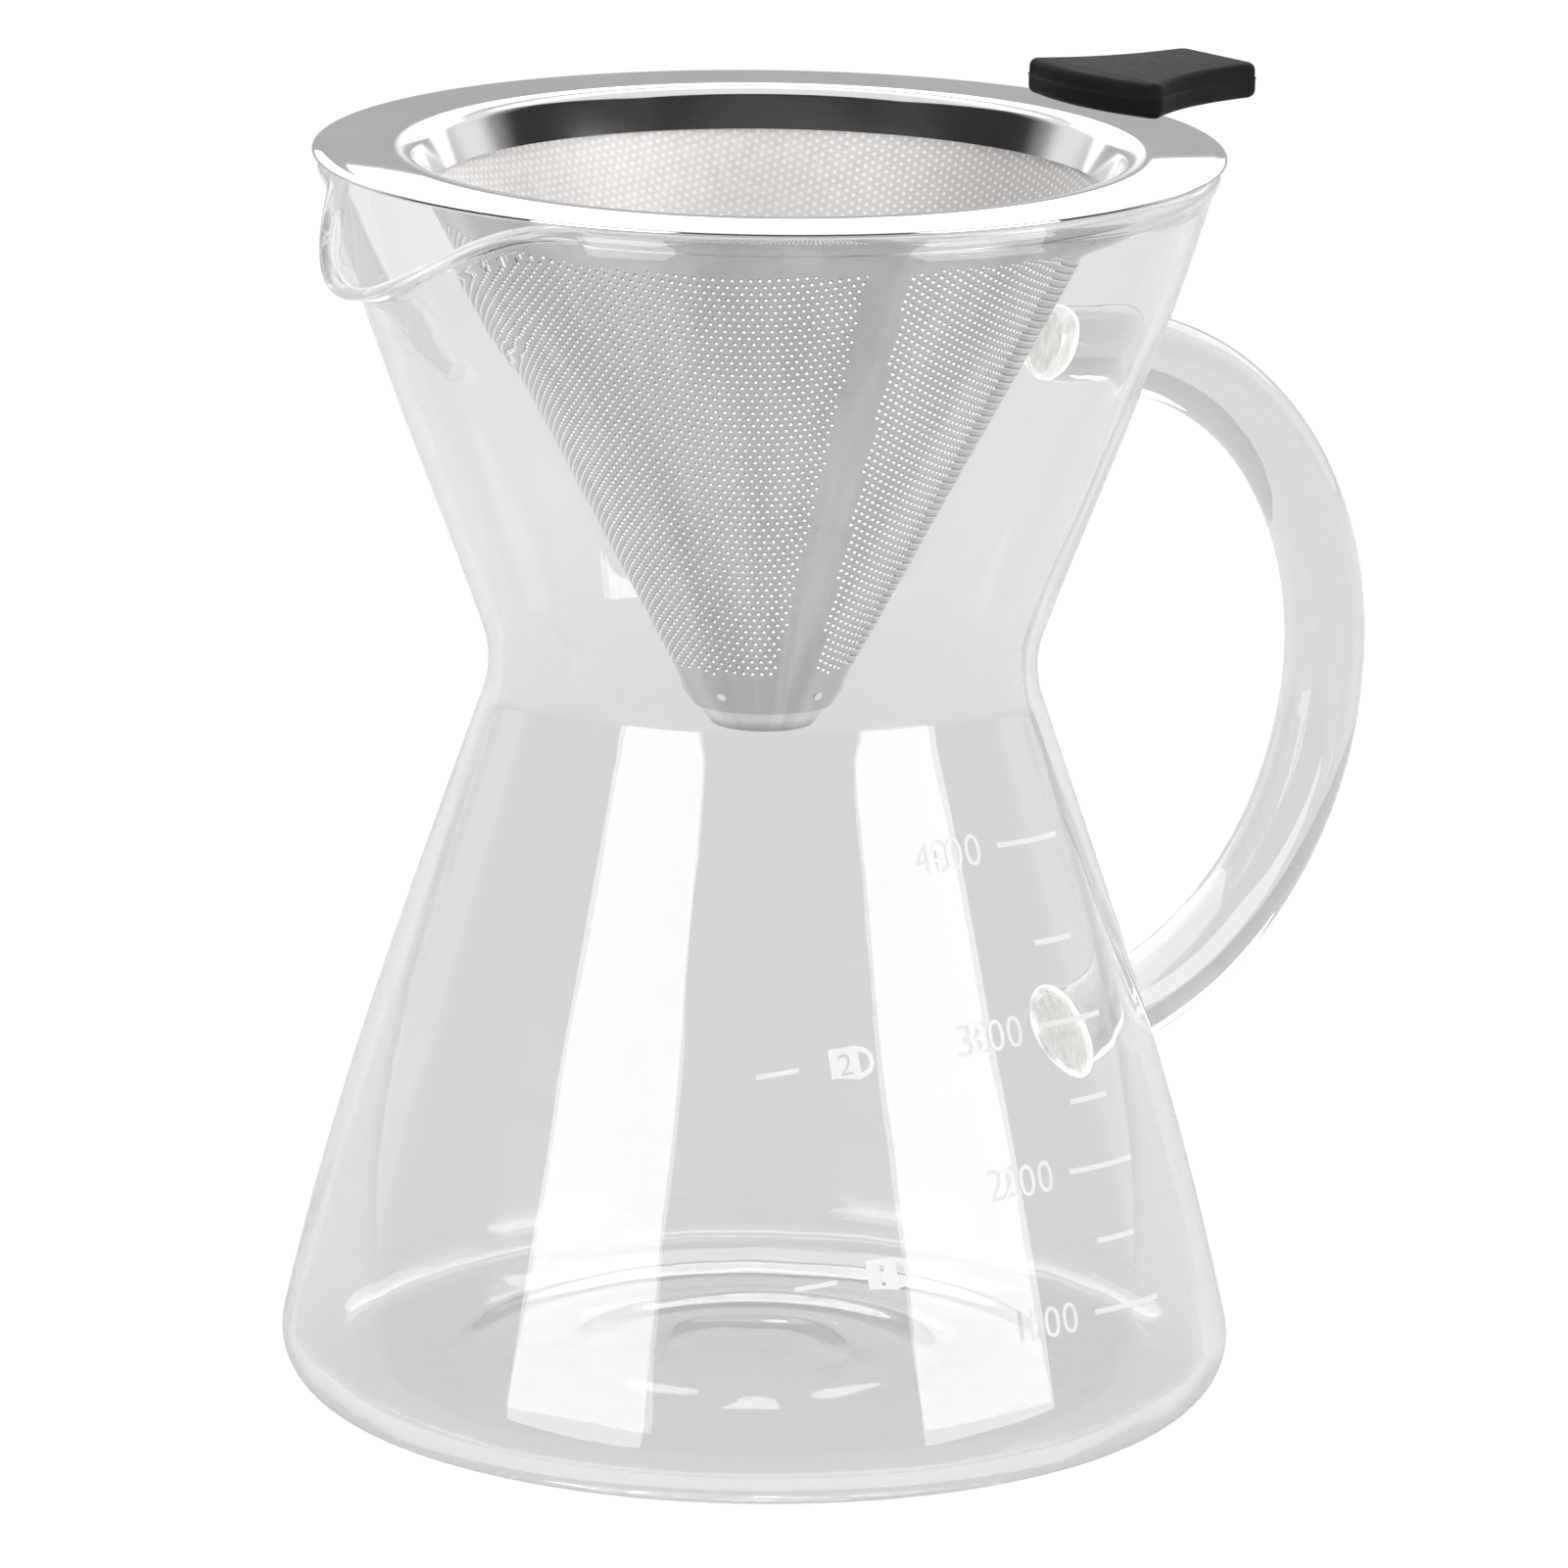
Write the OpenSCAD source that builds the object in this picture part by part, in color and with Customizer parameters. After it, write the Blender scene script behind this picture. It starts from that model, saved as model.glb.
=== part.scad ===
// Coffee server carafe: blown glass body with a drawn spout and a fused rod handle,
// and a stainless cone filter that hangs in the mouth by its brim.
// Millimetres. Origin at the centre of the foot, +Z up, handle towards +X, spout towards -X.

/* [Glass body] */
// Height of the glass rim above the foot
carafe_h = 140; // [120:0.5:170]
// Widest diameter of the lower chamber
base_d = 106.6; // [96:0.2:120]
// Radius of the rounded bottom corner
corner_r = 6; // [5:0.2:12]
// Diameter of the domed hollow under the foot
punt_d = 72; // [40:1:76]
// Height of the domed hollow under the foot
punt_rise = 1.6; // [0.8:0.1:3]
// Diameter of the waist
waist_d = 61.1; // [54:0.1:70]
// Height of the waist above the foot
waist_z = 83.1; // [76:0.1:92]
// Radius of the bend at the waist
waist_bend_r = 12.5; // [8:0.5:16]
// Outside diameter of the rim
rim_d = 99.4; // [90:0.2:99.6]
// Thickness of the blown wall
wall_t = 1.9; // [1.4:0.1:2.4]
// Thickness of the fire-polished bead on the rim
bead_d = 2.6; // [2:0.1:3.2]

/* [Spout] */
// How far the spout's lip stands out from the rim
spout_reach = 8.2; // [6:0.2:12]
// How far the lip dips below the rim
spout_dip = 8.4; // [5:0.2:10]
// Half the angle of the rim that the spout takes up
spout_half_angle = 27.5; // [20:0.5:35]
// Height of the spout's keel, from the rim down to where it meets the wall
spout_keel_h = 19.8; // [16:0.2:24]

/* [Glass handle] */
// Diameter of the handle rod
rod_d = 9.4; // [8:0.1:12]
// Distance from the carafe's axis to the middle of the rod at its furthest
handle_reach = 83.4; // [76:0.2:92]
// Height of that furthest point above the foot
handle_mid_z = 73.8; // [70:0.2:80]
// Radius of the rod's upper bend
upper_bend_r = 38.8; // [35:0.1:42]
// Radius of the rod's lower bend
lower_bend_r = 40.4; // [38:0.1:45]
// Angle of the upper bend, up from the furthest point
upper_bend_angle = 78; // [76:1:84]
// Angle of the lower bend, down from the furthest point
lower_bend_angle = 80; // [72:1:84]
// Diameter that the upper fused joint is drawn down to
upper_joint_d = 8; // [7:0.2:12]
// Length over which the upper joint is drawn down, before the wall cuts it
upper_joint_l = 15; // [13:0.5:18]
// Diameter that the lower fused joint spreads to
lower_joint_d = 14.6; // [12:0.2:17]
// Length over which the lower joint spreads, before the wall cuts it
lower_joint_l = 8; // [7:0.5:12]

/* [Printed scale] */
// Thickness of the enamel print
print_t = 0.1; // [0.05:0.01:0.2]
// Width of a printed line
line_w = 0.55; // [0.4:0.05:1]
// Length of a line at each hundred millilitres
long_line_l = 11.8; // [8:0.2:14]
// Length of a line at each fifty millilitres between them
short_line_l = 7; // [4:0.2:8]
// Angle about the axis at which the long lines start, -90 facing the -Y side
scale_angle = -81; // [-84:0.5:-66]
// Height of the 400 ml line above the foot
scale_top_z = 67.5; // [50:0.1:70]
// Length of a cup line
cup_line_l = 4.7; // [3:0.1:6]
// Distance round the wall from the -Y side to the cup lines
cup_arc = 26.2; // [22:0.2:32]
// Height of the two-cup line above the foot
cup_line_z = 46.8; // [40:0.1:56]
// Height of the printed cup beside its line
cup_sign_h = 3.6; // [2.5:0.1:4.4]
// Gap between a cup line and its printed cup
cup_sign_gap = 3.4; // [2:0.1:4]
// Rise of the printed cup above its line
cup_sign_rise = 0.8; // [0:0.1:2]

/* [Filter] */
// Diameter of the brim
brim_d = 100.6; // [99:0.2:112]
// Thickness of the brim's hemmed edge
brim_t = 0.55; // [0.5:0.05:1]
// Clearance between the brim and the glass rim
seat_gap = 0.15; // [0.1:0.05:0.3]
// Radius of the outer cone at its lower edge
cone_low_r = 7.8; // [6:0.1:11]
// Radius of the outer cone at its top, under the brim
cone_top_r = 40.3; // [38:0.1:41.5]
// Depth of the cone from the brim to its lower edge
cone_h = 61.1; // [50:0.1:75]
// Thickness of the perforated outer sheet
outer_sheet_t = 0.25; // [0.2:0.01:0.4]
// Thickness of the woven inner mesh
mesh_t = 0.2; // [0.15:0.01:0.3]
// Thickness of the brim's collar
collar_t = 0.4; // [0.3:0.01:0.6]
// Depth of the collar that clamps the mesh
collar_h = 4.1; // [3:0.1:7]
// Radius of the bend between the brim and its collar
brim_bend_r = 1.4; // [1:0.1:2.5]
// Height of the tip cup inside the cone
cup_lap_h = 3.3; // [2:0.1:5]
// Height of the tip cup below the cone
tip_h = 2.8; // [2:0.1:5]
// Radius of the tip cup's flat bottom
tip_r = 5; // [3.5:0.1:6]
// Thickness of the tip cup's sheet
tip_t = 0.4; // [0.3:0.01:0.6]
// Diameter of a spot weld
weld_d = 1.1; // [0.8:0.1:1.6]
// Height of a spot weld above the sheet
weld_t = 0.12; // [0.08:0.01:0.2]
// Number of spot welds on the tip cup
tip_welds_n = 5; // [3:1:8]
// Number of spot welds on the collar
collar_welds_n = 6; // [4:1:10]

/* [Tab and grip] */
// Length of the silicone grip
grip_l = 18.8; // [16:0.2:24]
// Distance from the axis to the grip's inner end
grip_start = 46.8; // [44:0.2:48]
// Width of the grip at its inner end
grip_inner_w = 22.4; // [16:0.2:26]
// Width of the grip at its outer end
grip_outer_w = 13.4; // [11:0.2:16]
// Thickness of the grip
grip_t = 4; // [3.4:0.1:6]
// Radius of the grip's corners in plan
grip_corner_r = 1.8; // [1:0.1:2.5]
// Clearance under the grip, above the brim
grip_gap = 0.1; // [0.1:0.05:0.3]
// Width of the steel tongue
tongue_w = 9; // [6:0.2:10]
// Thickness of the steel tongue
tongue_t = 0.8; // [0.5:0.05:1.2]
// Silicone left around the tongue at the grip's ends
grip_skin = 1.6; // [1:0.1:2.5]

/* [Hidden] */
$fn = 96;

// One overrun for every cut
over = 2;

// Glass body: radii and the angle of the wall at its joins
base_r = base_d / 2;
foot_r = base_r - corner_r;
punt_r = punt_d / 2;
waist_r = waist_d / 2;
rim_r = rim_d / 2;
rim_mid_z = carafe_h - bead_d / 2;
rim_wall_r = rim_r - (bead_d - wall_t) / 2;
wall_lean = 12.5;
waist_lean = 19;
rim_lean = 15;
// Reach of each curve's handles, as a share of the height it spans
chamber_low_share = 0.36;
chamber_high_share = 0.36;
funnel_low_share = 0.26;
funnel_high_share = 0.36;

function bezier(a, b, c, d, n) =
    [for (i = [1 : n]) let (t = i / n, s = 1 - t)
        s * s * s * a + 3 * s * s * t * b + 3 * s * t * t * c + t * t * t * d];
function lean_step(angle, rise) = rise * [tan(angle), 1];

punt_pts = [for (i = [0 : 5]) [punt_r * i / 5, punt_rise * (1 + cos(180 * i / 5)) / 2]];
corner_pts = [for (i = [0 : 8]) let (a = -90 + (90 + wall_lean) * i / 8)
    [foot_r + corner_r * cos(a), corner_r + corner_r * sin(a)]];
chamber_start = corner_pts[8];
waist_half_h = waist_bend_r * sin(waist_lean);
waist_end_r = waist_r + waist_bend_r * (1 - cos(waist_lean));
chamber_end = [waist_end_r, waist_z - waist_half_h];
chamber_h = chamber_end[1] - chamber_start[1];
chamber_pts = bezier(
    chamber_start,
    chamber_start + lean_step(-wall_lean, chamber_low_share * chamber_h),
    chamber_end - lean_step(-waist_lean, chamber_high_share * chamber_h),
    chamber_end, 12);
waist_pts = [for (i = [1 : 8]) let (a = -waist_lean + 2 * waist_lean * i / 8)
    [waist_r + waist_bend_r * (1 - cos(a)), waist_z + waist_bend_r * sin(a)]];
funnel_start = waist_pts[7];
funnel_end = [rim_wall_r, rim_mid_z];
funnel_h = funnel_end[1] - funnel_start[1];
funnel_pts = bezier(
    funnel_start,
    funnel_start + lean_step(waist_lean, funnel_low_share * funnel_h),
    funnel_end - lean_step(rim_lean, funnel_high_share * funnel_h),
    funnel_end, 10);
outer_path = concat(punt_pts, corner_pts, chamber_pts, waist_pts, funnel_pts);

// The path moved along its own normal, inwards where t is positive
function path_normal(pts, i) =
    let (d = pts[min(i + 1, len(pts) - 1)] - pts[max(i - 1, 0)])
    i == 0 ? [0, 1] : [-d[1], d[0]] / norm(d);
function moved(pts, t) = [for (i = [0 : len(pts) - 1]) pts[i] + t * path_normal(pts, i)];
function backwards(pts) = [for (i = [len(pts) - 1 : -1 : 0]) pts[i]];

// Radius of the wall's outside at a height of the funnel
funnel_table = [for (p = concat(waist_pts, funnel_pts)) [p[1], p[0]]];
function funnel_r(z) = lookup(z, funnel_table);

// Heights of the lines from 100 ml up in steps of 50 ml, and of the cup lines
line_height_shares = [0.261, 0.371, 0.485, 0.592, 0.716, 0.843, 1];
cup_height_shares = [0.53, 1];
// The print is flat before it is wrapped on the wall, so its lines tilt away from its middle
print_angle = -90;
tilt_share = 0.26;
cup_sign_w_share = 0.9;
cup_ear_share = 0.7;
chamber_table = [for (p = concat(corner_pts, chamber_pts)) [p[1], p[0]]];
function arc_angle(arc, z) = arc / lookup(z, chamber_table) * 180 / PI;
function line_angle(z) = scale_angle + arc_angle(long_line_l / 2, z);
function cup_angle(z) = print_angle - arc_angle(cup_arc, z);

// Spout: its share of the reach at a turn of u from -1 to 1 across it
spout_steps = 12;
lip_steps = 4;
spout_tuck = 0.4;
spout_edge_h = 3.2;
// The keel's bend: how high and how far out its turning point lies between wall and lip
keel_rise_share = 0.85;
keel_out_share = 0.28;
keel_thin_share = 0.38;
keel_lift_share = 0.79;
function swell(u) = (1 + cos(180 * u)) / 2;
function lip_r(u) = rim_wall_r + (spout_reach + rim_r - rim_wall_r) * pow(swell(u), 1.25);
function lip_z(u) = rim_mid_z + bead_d / 2 * (1 - swell(u)) - (spout_dip - bead_d / 2) * pow(swell(u), 2);
function keel_z(u) = rim_mid_z - spout_edge_h
    - (spout_keel_h - bead_d / 2 - spout_edge_h) * pow(swell(u), 0.7);
function mix(a, b, share) = a + (b - a) * share;
function spout_front(u, t) = let (
        low = [funnel_r(keel_z(u)), keel_z(u)],
        lip = [lip_r(u), lip_z(u) - bead_d],
        turn_z = mix(low[1], lip[1], keel_rise_share),
        turn = [mix(funnel_r(turn_z), lip[0], keel_out_share), turn_z])
    (1 - t) * (1 - t) * low + 2 * t * (1 - t) * turn + t * t * lip
        - [spout_tuck * (1 - swell(u)), 0];
function spout_inside(u, t) = let (w = swell(u) * (1 - t))
    spout_front(u, t) + wall_t * [keel_thin_share * w - 1, keel_lift_share * w];
// One upright slice of the spout's glass, and one of the hollow that is cut from it
function spout_slice(u) = let (back = funnel_r(keel_z(u)) - wall_t / 2)
    concat([for (j = [0 : lip_steps]) spout_front(u, j / lip_steps)],
        [[spout_front(u, 1)[0], lip_z(u)], [back, lip_z(u)], [back, keel_z(u)]]);
function hollow_slice(u) = let (back = funnel_r(keel_z(u)) - wall_t - over, top = carafe_h + over)
    concat([for (j = [0 : lip_steps]) spout_inside(u, j / lip_steps)],
        [[spout_inside(u, 1)[0], top], [back, top], [back, spout_inside(u, 0)[1]]]);

// Handle: from the furthest point the rod bends up and down to a fused joint that runs straight to the wall
upper_centre = [handle_reach - upper_bend_r, handle_mid_z];
lower_centre = [handle_reach - lower_bend_r, handle_mid_z];
// How much of each joint's length lies past the wall's outside, where the wall cuts it off
upper_joint_sink = 3.4;
lower_joint_sink = 4.3;
wall_table = [for (p = concat(corner_pts, chamber_pts, waist_pts, funnel_pts)) [p[1], p[0]]];
halvings = 30;

// Length of a bend's middle line, and the turn and the point that lie a run along it, side 1 up and -1 down
function bend_l(r, angle) = r * angle * PI / 180;
function turn_at(run, r, angle) = min(angle, run / r * 180 / PI);
function run_point(run, centre, r, angle, side) =
    let (a = turn_at(run, r, angle), rest = run - bend_l(r, a))
    centre + r * [cos(a), side * sin(a)] + rest * [-sin(a), side * cos(a)];

// Run from the furthest point to the wall, found by halving the stretch that holds it
function run_to_wall(centre, r, angle, side, low, high, steps = halvings) =
    let (half = (low + high) / 2, p = run_point(half, centre, r, angle, side),
        outside = p[0] > lookup(p[1], wall_table))
    steps == 0 ? half : run_to_wall(centre, r, angle, side, outside ? half : low, outside ? high : half, steps - 1);

// Each joint narrows or spreads from its own run on, and the rod ends there or where its bend does
upper_joint_run = run_to_wall(upper_centre, upper_bend_r, upper_bend_angle, 1,
    0, bend_l(upper_bend_r, upper_bend_angle) + handle_reach) - upper_joint_l + upper_joint_sink;
lower_joint_run = run_to_wall(lower_centre, lower_bend_r, lower_bend_angle, -1,
    0, bend_l(lower_bend_r, lower_bend_angle) + handle_reach) - lower_joint_l + lower_joint_sink;
upper_run = min(bend_l(upper_bend_r, upper_bend_angle), upper_joint_run);
lower_run = min(bend_l(lower_bend_r, lower_bend_angle), lower_joint_run);

// Filter: places down its axis and the stack of sheets
brim_z = carafe_h + seat_gap;
brim_top_z = brim_z + brim_t;
brim_r = brim_d / 2;
cone_low_z = brim_z - cone_h;
cone_slope = (cone_top_r - cone_low_r) / cone_h;
cone_angle = atan(cone_slope);
function cone_r(z) = cone_low_r + (z - cone_low_z) * cone_slope;
function across(t) = t / cos(cone_angle);
outer_in = across(outer_sheet_t);
mesh_in = outer_in + across(mesh_t);
collar_in = mesh_in + across(collar_t);
collar_low_z = brim_z - collar_h;
cup_top_z = cone_low_z + cup_lap_h;
tip_z = cone_low_z - tip_h;
// The brim's bend starts where the collar's inside would meet it
bend_sweep = 90 - cone_angle;
bend_run = brim_bend_r * tan(bend_sweep / 2);
bend_r = cone_r(brim_z) - mesh_in + bend_run;
sheet_top_z = brim_z - bend_run * cos(cone_angle) - outer_sheet_t;
// The outer cone's welded seam lies here, and the weld marks are counted from it
seam_angle = -108;
weld_height_share = 0.68;
tip_weld_angle = -86;
collar_weld_angle = -126;
weld_z = cone_low_z + cup_lap_h * weld_height_share;
collar_weld_z = collar_low_z + collar_h / 2;

// Grip and tongue
grip_z = brim_top_z + grip_gap;
tongue_z = grip_z + (grip_t - tongue_t) / 2;
tongue_start = grip_start + grip_skin;
tongue_end = grip_start + grip_l - grip_skin;
tongue_foot_l = (brim_r - tongue_start) * 0.8;

// Solid swept through upright slices that fan about the carafe's axis towards -X
module fan_solid(slices, half_angle) {
    n = len(slices);
    k = len(slices[0]);
    points = [for (i = [0 : n - 1]) let (a = 180 - half_angle + 2 * half_angle * i / (n - 1))
        for (p = slices[i]) [p[0] * cos(a), p[0] * sin(a), p[1]]];
    sides = [for (i = [0 : n - 2]) for (j = [0 : k - 1])
        let (a = i * k + j, b = i * k + (j + 1) % k, c = a + k, d = b + k)
        each [[a, b, c], [b, d, c]]];
    first = [for (j = [1 : k - 2]) [0, j + 1, j]];
    last = [for (j = [1 : k - 2]) let (a = (n - 1) * k) [a, a + j, a + j + 1]];
    polyhedron(points, concat(sides, first, last));
}

module turned(pts) rotate_extrude() polygon(pts);

// Glass with no hollow, run on above the rim, used to trim what is fused on the wall
module wall_outside() {
    turned(concat([[0, 0]], corner_pts, chamber_pts, waist_pts, funnel_pts,
        [[rim_wall_r, carafe_h + over], [0, carafe_h + over]]));
}

module glass_body() {
    color([0.9, 0.94, 0.95, 0.35]) {
        turns = [for (i = [0 : spout_steps]) 2 * i / spout_steps - 1];
        difference() {
            union() {
                turned(concat(outer_path, backwards(moved(outer_path, wall_t))));
                rotate_extrude()
                    translate([rim_r - bead_d / 2, rim_mid_z]) circle(d = bead_d);
                fan_solid([for (u = turns) spout_slice(u)], spout_half_angle);
            }
            fan_solid([for (u = turns) hollow_slice(u)], spout_half_angle);
        }
    }
}

// One half of the rod, bent about a centre in the handle's upright plane
module rod_bend(centre, bend_r, angle) {
    translate([centre[0], 0, centre[1]]) rotate([90, 0, 0])
        rotate_extrude(angle = angle) translate([bend_r, 0]) circle(d = rod_d);
}

module handle_rod() {
    color([0.88, 0.93, 0.95, 0.5]) {
        rod_bend(upper_centre, upper_bend_r, turn_at(upper_run, upper_bend_r, upper_bend_angle));
        mirror([0, 0, 1]) rod_bend([lower_centre[0], -lower_centre[1]], lower_bend_r,
            turn_at(lower_run, lower_bend_r, lower_bend_angle));
    }
}

// From the rod's end to the wall: straight at first, where there is room, then drawn down or spread out
module fused_joint(start, angle, straight_l, length, end_d) {
    difference() {
        translate([start[0], 0, start[1]]) rotate([0, angle, 0]) turned(concat(
            [[0, 0], [rod_d / 2, 0]],
            straight_l > 0 ? [[rod_d / 2, straight_l]] : [],
            [[end_d / 2, straight_l + length], [0, straight_l + length]]));
        wall_outside();
    }
}

module upper_handle_joint() {
    color([0.84, 0.9, 0.92, 0.6])
        fused_joint(run_point(upper_run, upper_centre, upper_bend_r, upper_bend_angle, 1),
            -turn_at(upper_run, upper_bend_r, upper_bend_angle),
            upper_joint_run - upper_run, upper_joint_l, upper_joint_d);
}

module lower_handle_joint() {
    color([0.84, 0.9, 0.92, 0.6])
        fused_joint(run_point(lower_run, lower_centre, lower_bend_r, lower_bend_angle, -1),
            turn_at(lower_run, lower_bend_r, lower_bend_angle) - 180,
            lower_joint_run - lower_run, lower_joint_l, lower_joint_d);
}

// Thin skin of enamel over the lower chamber's wall
module print_skin() {
    chamber = concat([chamber_start], chamber_pts);
    turned(concat(chamber, backwards(moved(chamber, -print_t))));
}

// A printed shape: its outline is laid on the wall from straight ahead, at an angle and a height
module printed(angle, z) {
    rotate(angle) translate([0, 0, z]) rotate([90, 0, 90]) rotate((print_angle - angle) * tilt_share)
        linear_extrude(base_r + over) children();
}

module millilitre_marks() {
    color("white") intersection() {
        print_skin();
        union() for (i = [0 : len(line_height_shares) - 1]) {
            z = scale_top_z * line_height_shares[i];
            printed(line_angle(z), z)
                square([i % 2 == 0 ? long_line_l : short_line_l, line_w], center = true);
        }
    }
}

// Outline of a cup seen from the side, with its ear
module cup_sign(w, ear_d) {
    square([w, cup_sign_h], center = true);
    translate([w / 2, 0]) difference() {
        circle(d = ear_d);
        circle(d = ear_d - 2 * line_w);
    }
}

module cup_marks() {
    sign_w = cup_sign_h * cup_sign_w_share;
    color("white") intersection() {
        print_skin();
        union() for (z = cup_line_z * cup_height_shares) {
            sign_z = z + cup_sign_rise;
            sign_angle = cup_angle(z) + arc_angle(cup_line_l / 2 + cup_sign_gap + sign_w / 2, z);
            printed(cup_angle(z), z) square([cup_line_l, line_w], center = true);
            printed(sign_angle, sign_z) cup_sign(sign_w, cup_sign_h * cup_ear_share);
        }
    }
}

module filter_brim() {
    mid_r = bend_r;
    bend = function (r) [for (i = [0 : 6]) let (a = 90 + bend_sweep * i / 6)
        [mid_r + r * cos(a), brim_z - brim_bend_r + r * sin(a)]];
    color([0.82, 0.82, 0.84]) turned(concat(
        [[brim_r - brim_t / 2, brim_z]],
        bend(brim_bend_r),
        [[cone_r(collar_low_z) - mesh_in, collar_low_z], [cone_r(collar_low_z) - collar_in, collar_low_z]],
        backwards(bend(brim_bend_r + brim_t)),
        [for (i = [0 : 6]) let (a = 90 - 180 * i / 6)
            [brim_r - brim_t / 2 + brim_t / 2 * cos(a), brim_z + brim_t / 2 + brim_t / 2 * sin(a)]]));
}

module outer_cone() {
    color([0.66, 0.66, 0.67]) turned([
        [cone_low_r, cone_low_z],
        [cone_r(sheet_top_z), sheet_top_z],
        [cone_r(sheet_top_z) - outer_in, sheet_top_z],
        [cone_low_r - outer_in, cone_low_z],
    ]);
}

module inner_mesh_cone() {
    color([0.72, 0.7, 0.69]) turned([
        [cone_r(cup_top_z) - outer_in, cup_top_z],
        [cone_r(sheet_top_z) - outer_in, sheet_top_z],
        [cone_r(sheet_top_z) - mesh_in, sheet_top_z],
        [cone_r(cup_top_z) - mesh_in, cup_top_z],
    ]);
}

module tip_cup() {
    lap_r = cone_low_r - outer_in;
    top_r = cone_r(cup_top_z) - outer_in;
    wall = across(tip_t);
    color([0.7, 0.7, 0.71]) turned([
        [0, tip_z],
        [tip_r, tip_z],
        [tip_r + tip_t, tip_z + tip_t],
        [lap_r, cone_low_z],
        [top_r, cup_top_z],
        [top_r - wall, cup_top_z],
        [lap_r - wall, cone_low_z],
        [tip_r, tip_z + tip_t],
        [0, tip_z + tip_t],
    ]);
}

// Round weld marks on the cone's outside, all round at one height
module cone_welds(count, first_angle, z) {
    intersection() {
        turned([
            [cone_low_r, cone_low_z],
            [cone_r(brim_z), brim_z],
            [cone_r(brim_z) + across(weld_t), brim_z],
            [cone_low_r + across(weld_t), cone_low_z],
        ]);
        union() for (i = [0 : count - 1]) rotate(first_angle + 360 * i / count)
            translate([cone_r(z), 0, z]) rotate([0, 90 + cone_angle, 0])
                cylinder(h = 2 * over, d = weld_d, center = true);
    }
}

module tip_welds() {
    color([0.6, 0.6, 0.6]) cone_welds(tip_welds_n, tip_weld_angle, weld_z);
}

module collar_welds() {
    color([0.6, 0.6, 0.6]) cone_welds(collar_welds_n, collar_weld_angle, collar_weld_z);
}

// Steel tongue: a foot welded on the brim, and a blade inside the grip
module tongue_form() {
    translate([tongue_start, -tongue_w / 2, brim_top_z])
        cube([tongue_foot_l, tongue_w, tongue_z + tongue_t - brim_top_z]);
    translate([tongue_start, -tongue_w / 2, tongue_z])
        cube([tongue_end - tongue_start, tongue_w, tongue_t]);
}

module tongue_weld_pins() {
    for (side = [-1, 1])
        translate([tongue_start + tongue_foot_l / 2, side * tongue_w / 4, brim_top_z])
            cylinder(h = weld_t, d = weld_d);
}

module tab_tongue() {
    color([0.75, 0.75, 0.77]) difference() {
        tongue_form();
        tongue_weld_pins();
    }
}

module tongue_welds() {
    color([0.6, 0.6, 0.6]) tongue_weld_pins();
}

// Plan of the grip: wide at the brim, drawn in along both sides to a narrower end
module grip_plan() {
    inner = grip_inner_w / 2;
    outer = grip_outer_w / 2;
    side_steps = 8;
    ears = [for (i = [0 : side_steps]) let (t = i / side_steps)
        [grip_start + grip_corner_r + (grip_l - 2 * grip_corner_r) * t,
            outer + (inner - outer) * pow(1 - t, 2.4)]];
    corner = function (x, y, from, to) [for (i = [0 : 5]) let (a = from + (to - from) * i / 5)
        [x + grip_corner_r * cos(a), y + grip_corner_r * sin(a)]];
    half = concat(
        corner(grip_start + grip_corner_r, inner - grip_corner_r, 180, 90),
        [for (i = [1 : side_steps - 1]) ears[i]],
        corner(grip_start + grip_l - grip_corner_r, outer - grip_corner_r, 90, 0));
    polygon(concat(half, [for (p = backwards(half)) [p[0], -p[1]]]));
}

module silicone_grip() {
    color([0.1, 0.1, 0.1]) difference() {
        translate([0, 0, grip_z]) linear_extrude(grip_t) grip_plan();
        tongue_form();
    }
}

glass_body();
handle_rod();
upper_handle_joint();
lower_handle_joint();
millilitre_marks();
cup_marks();
filter_brim();
outer_cone();
inner_mesh_cone();
tip_cup();
tip_welds();
collar_welds();
tab_tongue();
tongue_welds();
silicone_grip();
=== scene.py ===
import math

import bpy
import numpy as np
from mathutils import Matrix, Quaternion, Vector
from mathutils.geometry import delaunay_2d_cdt


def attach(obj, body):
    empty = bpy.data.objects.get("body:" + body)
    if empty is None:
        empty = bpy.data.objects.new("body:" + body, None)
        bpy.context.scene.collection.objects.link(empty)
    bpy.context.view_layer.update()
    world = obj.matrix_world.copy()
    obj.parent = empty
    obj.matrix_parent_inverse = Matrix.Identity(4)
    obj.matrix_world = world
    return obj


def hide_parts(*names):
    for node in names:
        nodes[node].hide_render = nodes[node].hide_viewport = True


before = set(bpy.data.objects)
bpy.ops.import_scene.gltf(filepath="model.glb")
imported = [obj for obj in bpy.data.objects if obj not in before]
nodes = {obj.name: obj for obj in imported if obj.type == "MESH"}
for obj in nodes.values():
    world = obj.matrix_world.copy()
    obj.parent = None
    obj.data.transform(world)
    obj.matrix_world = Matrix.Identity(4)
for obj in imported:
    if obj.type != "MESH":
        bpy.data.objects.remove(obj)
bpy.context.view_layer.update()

MM = 0.001


# Small tools

def deselect_all():
    if bpy.context.object and bpy.context.object.mode != "OBJECT":
        bpy.ops.object.mode_set(mode="OBJECT")
    bpy.ops.object.select_all(action="DESELECT")


def take(piece):
    """Makes one piece the selected and active one."""
    deselect_all()
    piece.select_set(True)
    bpy.context.view_layer.objects.active = piece
    return piece


def settle(piece):
    """Puts a piece's place, turn and size into its mesh."""
    take(piece)
    bpy.ops.object.transform_apply(location=True, rotation=True, scale=True)
    return piece


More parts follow.
